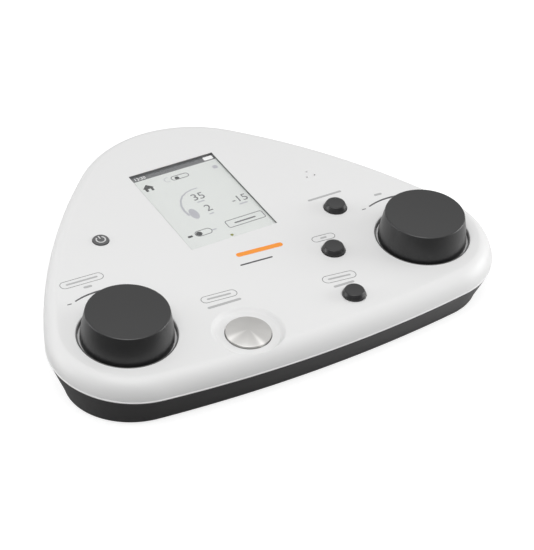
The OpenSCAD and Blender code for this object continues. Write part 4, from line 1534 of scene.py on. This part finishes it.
@dataclass
class PowerKey:
    """The round power key with its on-off sign.

    Attributes:
        radius: Its radius.
        height: Height over the panel.
    """

    radius: float = 4.6
    height: float = 0.7

    def build(self) -> None:
        """Makes the key and its sign, and dresses them."""
        r, top = self.radius, self.height
        profile = [*stem(6.1), (r, FLANGE_TOP), (r, top - 0.35), (r - 0.1, top - 0.1), (r - 0.35, top), (0, top)]
        piece("power_key_cap", turned(profile, 72).moved(*POWER_AT), POWER, "power_set",
              ["power_key"], 32.0)
        line = {"width": 0.75, "low": top - 0.02, "high": top + 0.04}
        sign = joined([stroke(arc_line(2.6, 125, 415, 40), **line), stroke([(0, 0.7), (0, 3.3)], **line)])
        piece("power_key_sign", sign.moved(*POWER_AT), MARK_PALE, "power_set")


# ---------------------------------------------------------------- screen


@dataclass
class Screen:
    """The lit display under the touch glass, with plain signs and numbers.

    Attributes:
        face: Height of the display's face.
        ink: Thickness of what is drawn on it.
    """

    face: float = -1.5
    ink: float = 0.04

    def low(self, lift: int) -> float:
        """Gives the underside of a layer of drawing."""
        return self.face - 0.01 + lift * self.ink

    def draw(self, name: str, forms: Iterable[Form], finish: Finish) -> None:
        """Adds one set of signs to the display's face."""
        piece(name, joined(forms), finish, "case")

    def flat(self, outline: Sequence[Point], x: float, y: float, lift: int = 0) -> Form:
        """Gives a filled sign."""
        return prism(outline, self.low(lift), self.low(lift) + self.ink).moved(x, y)

    def line(self, points: Sequence[Point], width: Width, x: float = 0.0, y: float = 0.0,
             closed: bool = False) -> Form:
        """Gives a drawn line."""
        return stroke(points, width, self.low(0), self.low(0) + self.ink, closed).moved(x, y)

    def layers(self) -> None:
        """Makes the display's block, the touch glass and the status lamp."""
        outline = rounded_box(*GLASS_SIZE, 0.4, 2)
        for name, low, high, finish, slot, node in (
                ("display_face", -5.5, self.face, DISPLAY, "display_pale", "display_panel"),
                ("touch_sheet", -1.42, -1.21, GLASS, "screen_glass", "touch_glass")):
            piece(name, prism(outline, low, high).moved(*WINDOW_AT), finish, "case", [node], 40.0)
        self.edging()
        lamp = turned([(0, -1.55), (0.95, -1.55), (0.95, -1.47), (0.75, -1.445), (0, -1.44)], 24)
        piece("status_lamp", lamp.moved(*LED_AT), SLOT_FINISHES["led_green"], "case", ["status_led"])

    def build(self) -> None:
        """Makes the display's face and everything drawn on it."""
        self.layers()
        header_low, header_high = 60.8, WINDOW_AT[1] + WINDOW_SIZE[1] / 2 + 0.6
        header = rounded_box(WINDOW_SIZE[0] + 1, header_high - header_low, 0.1, 1)
        self.draw("screen_header", [self.flat(header, WINDOW_AT[0], (header_high + header_low) / 2)], SCREEN_BAR)
        self.draw("screen_header_signs", [
            self.flat(rounded_box(6.2, 3.2, 0.6), 22.7, 63.3, 1), self.digits("12:30", 3.4, (-23.6, 61.8), 1)],
            SCREEN_WHITE)
        boxes = ((11.2, 3.6, 1.7, -1.3, 54.5), (10.4, 4.8, 2.3, -14.9, 1.9), (24.2, 6.4, 1.2, 12.7, 1.9))
        self.draw("screen_outlines", [
            self.line(rounded_box(width, height, radius), 0.5, x, y, True)
            for width, height, radius, x, y in boxes], SCREEN_MID)
        house = [(-3.6, -0.2), (-0.2, 3.2), (3.3, -0.2), (2.5, -0.6), (2.5, -3.2), (1.0, -3.2), (1.0, -1.0),
                 (-1.0, -1.0), (-1.0, -3.2), (-2.7, -3.2), (-2.7, -0.6)]
        self.draw("screen_black_signs", [
            self.flat(house, -23.2, 52.8), self.flat(disc(1.4), -3.5, 54.0), self.flat(disc(1.9), -17.8, 1.8),
            self.flat(rounded_box(3.0, 1.6, 0.4, 3), -23.7, 1.6)], SCREEN_DARK)
        band = [(2.4, 40.2), (-1.5, 40.2), (-5.5, 39.2), (-9.4, 36.9), (-12.4, 33.4), (-14.4, 29.0), (-15.1, 24.0),
                (-14.6, 19.0)]
        faint = [self.flat(rounded_box(width, 1.0, 0.45, 3), x, y) for width, x, y in (
            (5.0, -2.0, 27.9), (3.2, -1.9, 15.3), (5.6, 19.6, 15.7), (3.0, -8.0, 1.6))]
        cup = [(2.6 * x, 5.0 * y) for x, y in disc(1.0)]
        self.draw("screen_pale_signs", [
            self.line(band, lambda share: 0.7 + 0.7 * share), self.flat(cup, -11.3, 19.3),
            self.flat(rounded_box(3.2, 3.2, 1.2), 22.2, 53.8), *faint,
            self.line(arc_line(2.0, 60, 300, 12), 0.4, -9.4, 54.8)], SCREEN_LIGHT)
        self.draw("screen_numbers", [
            self.digits("35", 8.6, (-1.2, 30.0)), self.digits("2", 8.6, (-1.2, 17.9)),
            self.digits("-15", 8.2, (19.6, 17.9)), self.flat(rounded_box(14.0, 1.15, 0.5, 3), 12.4, 1.6)], SCREEN_MID)

    def edging(self) -> None:
        """Makes the thin edging of the window, which lies between the cover and the glass; its dark grey colour is
        painted shade on the window's wall.
        """
        width, length = WINDOW_SIZE
        form = Form()
        rows = [(0.0, -1.2), (0.15, -1.2), (0.15, -0.3), (0.1, -0.22), (0.0, -0.22)]
        for wide, high in rows:
            form.points += [(x, y, high) for x, y in rounded_box(width + 2 * wide, length + 2 * wide, 0.2 + wide)]
        count = len(form.points) // len(rows)
        for k in range(len(rows)):
            for i in range(count):
                j, after = (i + 1) % count, (k + 1) % len(rows)
                form.faces.append((k * count + i, k * count + j, after * count + j, after * count + i))
        piece("window_edging", form.moved(*WINDOW_AT), WINDOW_SHADE_EDGING, "case", ["window_gasket"], 30.0)

    def digits(self, text: str, size: float, at: Point, lift: int = 0) -> Form:
        """Gives numbers as a flat form, centred over a place on the panel.

        Args:
            text: The numbers.
            size: Height of the type.
            at: The middle of their foot.
            lift: Which layer they lie on.

        Returns:
            The form.
        """
        curve = bpy.data.curves.new("numbers", "FONT")
        curve.body, curve.size, curve.align_x = text, size, "CENTER"
        curve.fill_mode = "FRONT"
        curve.resolution_u = 4
        holder = shown("numbers", curve)
        flat = bpy.data.meshes.new_from_object(holder.evaluated_get(bpy.context.evaluated_depsgraph_get()))
        low, join = self.low(lift), 1e-4
        tool = bmesh.new()
        tool.from_mesh(flat)
        bmesh.ops.remove_doubles(tool, verts=tool.verts, dist=join)
        shell = bmesh.ops.extrude_face_region(tool, geom=list(tool.faces), use_keep_orig=True)
        for part in shell["geom"]:
            if isinstance(part, bmesh.types.BMVert):
                part.co.z += self.ink
        tool.verts.index_update()
        form = Form([(at[0] + v.co.x, at[1] + v.co.y, low + v.co.z) for v in tool.verts],
                    [tuple(v.index for v in face.verts) for face in tool.faces])
        tool.free()
        bpy.data.objects.remove(holder)
        bpy.data.meshes.remove(flat)
        return form


@dataclass
class Prints:
    """The printed marks on the panel: outlined labels, bars and arcs, with no words.

    Attributes:
        ink: Height of the print over the panel.
        sunk: Height of its underside.
    """

    ink: float = 0.05
    sunk: float = -0.02

    def lozenge(self, x: float, y: float, width: float, height: float, turn: float) -> Form:
        """Gives the outline of a label."""
        return stroke(rounded_box(width, height, height / 2 - 0.01, 8), 0.34, self.sunk, self.ink, True).moved(
            x, up_slope(y), 0, turn)

    def bar(self, x: float, y: float, width: float, height: float, turn: float) -> Form:
        """Gives a filled bar."""
        return prism(rounded_box(width, height, min(width, height) * 0.45, 4), self.sunk, self.ink).moved(
            x, up_slope(y), 0, turn)

    def build(self) -> None:
        """Makes the printed marks and dresses them."""
        labels = ((-97.2, -7.4, 25.6, 5.7, -2.5, 19.0), (-36.3, -52.6, 21.2, 5.4, -5.0, 14.5),
                  (43.0, -34.2, 14.2, 4.8, -4.5, 4.0), (32.1, -68.0, 20.2, 6.0, -7.0, 14.0))
        bars = ((-36.6, -59.1, 20.5, 1.7, -2.5), (31.2, -74.4, 13.0, 1.7, -2.6), (64.6, -1.3, 22.6, 1.5, -0.8),
                (-96.5, -13.4, 5.0, 1.7, -4.0), (93.7, -13.9, 5.0, 1.7, -4.0))
        soft = [self.bar(x, y, fill, 1.3, turn) for x, y, _, _, turn, fill in labels]
        arc = stroke(arc_line(38.3, 109.5, 66, 30), lambda share: 0.9 + 0.7 * share, self.sunk, self.ink)
        dark = [arc.moved(side * DIAL_X, DIAL_Y) for side in (-1, 1)]
        dark += [self.bar(x, -22.3, 2.6, 0.6, -4.0) for x in (-112.1, 78.5)]
        dark.append(self.bar(-2.1, -35.4, 20.3, 1.1, -3.7))
        for name, forms, finish in (
                ("label_bars", [*soft, *(self.bar(*bar) for bar in bars)], MARK_SOFT),
                ("panel_marks", [self.lozenge(*label[:5]) for label in labels], MARK),
                ("dial_arcs", dark, MARK_DARK),
                ("plain_accent_bar", [self.bar(4.6, -27.4, 29.0, 3.4, -4.7)], MARK_ORANGE)):
            piece(name, joined(forms), finish, "case")


# ---------------------------------------------------------------- screws


@dataclass
class Screws:
    """A set of equal screws, made by one tree: head with a six-sided socket, on a shank.

    Attributes:
        name: Name of the piece.
        node: The solids that it replaces.
        places: The underside of each head, in metres.
        turn: How the screws' axis is turned from +Z, as angles about X, Y and Z.
        head: Radius of the head.
        head_height: Height of the head.
        shank: Radius of the shank.
        length: Length of the shank.
    """

    name: str
    node: str
    places: list[Point3]
    turn: Point3
    head: float
    head_height: float
    shank: float
    length: float

    def build(self) -> None:
        """Makes the screws and dresses them."""
        finish = SLOT_FINISHES["screw_steel"]
        sizes = {"Head Radius": self.head * MM, "Head Height": self.head_height * MM, "Shank Radius": self.shank * MM,
                 "Shank Length": self.length * MM}
        rule = Rule(f"{self.name}_rule", sizes)
        board = rule.board
        head_r, head_h, shank_r, length = (rule.number(name) for name in sizes)
        overlap = 0.01 * MM

        def rod(radius: Num, depth: Num, middle: Num, sides: int) -> bpy.types.NodeSocket:
            """Adds a rod along Z with its middle at a height, and returns its geometry.

            Args:
                radius: Its radius.
                depth: Its length.
                middle: Height of its middle.
                sides: How many sides it has.

            Returns:
                The rod's geometry socket.
            """
            made = board.node("GeometryNodeMeshCylinder", sockets={
                "Vertices": sides, "Radius": radius, "Depth": depth})
            shift = board.node("ShaderNodeCombineXYZ", sockets={"Z": middle})
            return board.node("GeometryNodeTransform", sockets={
                "Geometry": made.outputs["Mesh"], "Translation": shift.outputs["Vector"]}).outputs["Geometry"]

        head = rod(head_r, head_h, head_h * 0.5, 40)
        socket = rod(head_r * 0.48, head_h, head_h * 1.1, 6)
        cut = board.node("GeometryNodeMeshBoolean", {"operation": "DIFFERENCE"}, {"Mesh 1": head, "Mesh 2": socket})
        shaft = rod(shank_r, length, length * -0.5 + overlap, 24)
        whole = board.node("GeometryNodeJoinGeometry")
        for part in (cut.outputs["Mesh"], shaft):
            board.tree.links.new(part, whole.inputs["Geometry"])
        points = board.node("GeometryNodeInstanceOnPoints", sockets={
            "Points": rule.entry.outputs["Geometry"], "Instance": whole.outputs["Geometry"],
            "Rotation": [math.radians(angle) for angle in self.turn]})
        rule.close(points.outputs["Instances"], finish)
        source = bpy.data.meshes.new("places")
        source.from_pydata(self.places, [], [])
        obj = rule.run(self.name, source, sizes)
        smooth(obj, 35.0)
        placed(obj, finish, "case", [self.node])


# ---------------------------------------------------------------- studio


@dataclass
class Studio:
    """Floor, soft lights and camera.

    Attributes:
        azimuth: Turn of the camera from straight in front, in degrees.
        elevation: Height of the camera, in degrees.
        distance: Distance from the point it looks at, in millimetres.
        target: The point it looks at, in millimetres.
        lens: Focal length for a 36 mm sensor along the picture's longer side.
        floor_half: Half the floor's width, in metres.
        far_side: Direction in plan away from the camera, in which the room is brighter.
    """

    azimuth: float = -31.0541
    elevation: float = 33.4494
    distance: float = 1188.685
    target: Point3 = (26.394, 0.568, 0.0)
    lens: float = 131.854
    floor_half: float = 6.0
    far_side: Point = (0.52, 0.86)

    def camera(self) -> None:
        """Places the camera as the photograph was taken."""
        az, el = math.radians(self.azimuth), math.radians(self.elevation)
        back = Vector((math.sin(az) * math.cos(el), -math.cos(az) * math.cos(el), math.sin(el)))
        right = Vector((math.cos(az), math.sin(az), 0.0))
        up = back.cross(right)
        eye = Vector(self.target) * MM + back * self.distance * MM
        data = bpy.data.cameras.new("camera")
        data.lens = self.lens
        data.sensor_width = 36.0
        data.sensor_fit = "AUTO"
        obj = bpy.data.objects.new("camera", data)
        obj.matrix_world = Matrix((
            (right.x, up.x, back.x, eye.x), (right.y, up.y, back.y, eye.y), (right.z, up.z, back.z, eye.z),
            (0, 0, 0, 1)))
        bpy.context.scene.collection.objects.link(obj)
        bpy.context.scene.camera = obj

    def lamp(self, name: str, place: Point3, aim: Point3, size: Point, power: float) -> None:
        """Adds a soft rectangular lamp.

        Args:
            name: Name of the lamp.
            place: Where it stands, in metres.
            aim: What it points at, in metres.
            size: Its width and height, in metres.
            power: Its power in watts.
        """
        data = bpy.data.lights.new(name, "AREA")
        data.shape, data.size, data.size_y, data.energy = "RECTANGLE", size[0], size[1], power
        obj = bpy.data.objects.new(name, data)
        obj.location = place
        obj.rotation_euler = (Vector(aim) - Vector(place)).to_track_quat("-Z", "Y").to_euler()
        bpy.context.scene.collection.objects.link(obj)

    def seen_as_background(self, board: Board) -> Num:
        """Gives 1 for a ray that shows the background: from the camera or through glass."""
        path = board.node("ShaderNodeLightPath")
        return (board.num(path.outputs["Is Camera Ray"]) + board.num(path.outputs["Is Transmission Ray"])).clamped()

    def away(self, board: Board, vector: bpy.types.NodeSocket) -> Num:
        """Gives how far a direction or a place lies away from the camera."""
        x, y = board.across(vector)
        return x * self.far_side[0] + y * self.far_side[1]

    def world(self) -> None:
        """Makes the room: brighter overhead and at the far side, white to the camera, and overhead to a mirror too."""
        world = bpy.data.worlds.new("room")
        bpy.context.scene.world = world
        world.use_nodes = True
        board = Board(world.node_tree)
        ray = board.node("ShaderNodeTexCoord").outputs["Generated"]
        height = board.num(board.node("ShaderNodeSeparateXYZ", sockets={"Vector": ray}).outputs["Z"])
        high = ((height - 0.2) * 3.2).clamped()
        level = high * 0.48 + (1.0 - high) * (self.away(board, ray) * 0.36 + 0.18).clamped()
        seen = self.seen_as_background(board)
        mirrored = board.num(board.node("ShaderNodeLightPath").outputs["Is Glossy Ray"])
        white = (seen + mirrored * high).clamped()
        strength = level * (1.0 - white) + white
        shader = board.node("ShaderNodeBackground", sockets={"Color": (1, 1, 1, 1), "Strength": strength})
        board.node("ShaderNodeOutputWorld", sockets={"Surface": shader.outputs["Background"]})

    def floor(self) -> None:
        """Makes the pale floor, which keeps a soft shadow."""
        made = bpy.data.materials.new("studio_floor")
        made.use_nodes = True
        board = Board(made.node_tree)
        seen = self.seen_as_background(board)
        bounce = ((self.away(board, board.spot()) + 0.15) * 8.0).clamped() * 0.6 + 0.22
        shade = bounce * (1.0 - seen) + seen * 0.4
        grey = board.node("ShaderNodeCombineColor", sockets={"Red": shade, "Green": shade, "Blue": shade})
        matte = board.node("ShaderNodeBsdfDiffuse", sockets={"Color": grey.outputs["Color"]})
        glow = board.node("ShaderNodeEmission", sockets={"Color": (1, 1, 1, 1), "Strength": seen * 0.78})
        both = board.node("ShaderNodeAddShader")
        board.tree.links.new(matte.outputs["BSDF"], both.inputs[0])
        board.tree.links.new(glow.outputs["Emission"], both.inputs[1])
        board.node("ShaderNodeOutputMaterial", sockets={"Surface": both.outputs["Shader"]})
        half = self.floor_half
        mesh = bpy.data.meshes.new("floor")
        mesh.from_pydata([(-half, -half, 0), (half, -half, 0), (half, half, 0), (-half, half, 0)], [], [(0, 1, 2, 3)])
        mesh.materials.append(made)
        shown("floor", mesh)

    def build(self) -> None:
        """Sets up the whole studio."""
        bpy.context.scene.view_settings.view_transform = "Standard"
        self.camera()
        self.world()
        self.floor()
        self.lamp("overhead", (-0.4, -0.6, 1.42), (0.0, 0.0, 0.0), (1.1, 1.1), 14.5)
        self.lamp("left", (-1.05, 0.5, 0.24), (0.0, 0.0, 0.03), (0.7, 0.36), 4.0)
        self.lamp("right", (1.12, -0.43, 0.24), (0.0, 0.0, 0.03), (0.7, 0.36), 6.5)


def dress_nodes() -> None:
    """Gives every carried-over solid the finish of its material slot."""
    slots = {part["node"]: part["material_slot"] for part in frame["record"]["subparts"]}
    for name, obj in frame["nodes"].items():
        finish = SLOT_FINISHES[slots[name]]
        for place in obj.material_slots:
            place.material = finish.material()
    LOG.info("dressed %d solids", len(slots))


def main() -> None:
    """Builds the pieces in order, from the case to the studio."""
    dress_nodes()
    Cover().build()
    Base().build()
    Feet().build()
    for side in (-1, 1):
        Dial(side).build()
    for name, at in KEY_PLACES.items():
        Key(name, at).build()
    MetalButton().build()
    PowerKey().build()
    Screen().build()
    Prints().build()
    Screws("case_screw_set", "case_screws", [(x * MM, y * MM, 0.011) for x, y in PLAN.screw_spots()], (180, 0, 0),
           2.85, 2.4, 1.45, 12.0).build()
    plate = [(sx * 40.1 * MM, 0.08425, (21.5 + sz * 9.6) * MM) for sx in (-1, 1) for sz in (-1, 1)]
    Screws("plate_screw_set", "rear_plate_screws", plate, (-90, 0, 0), 1.98, 1.2, 1.05, 7.0).build()
    Studio().build()


if __name__ == "__main__":
    main()
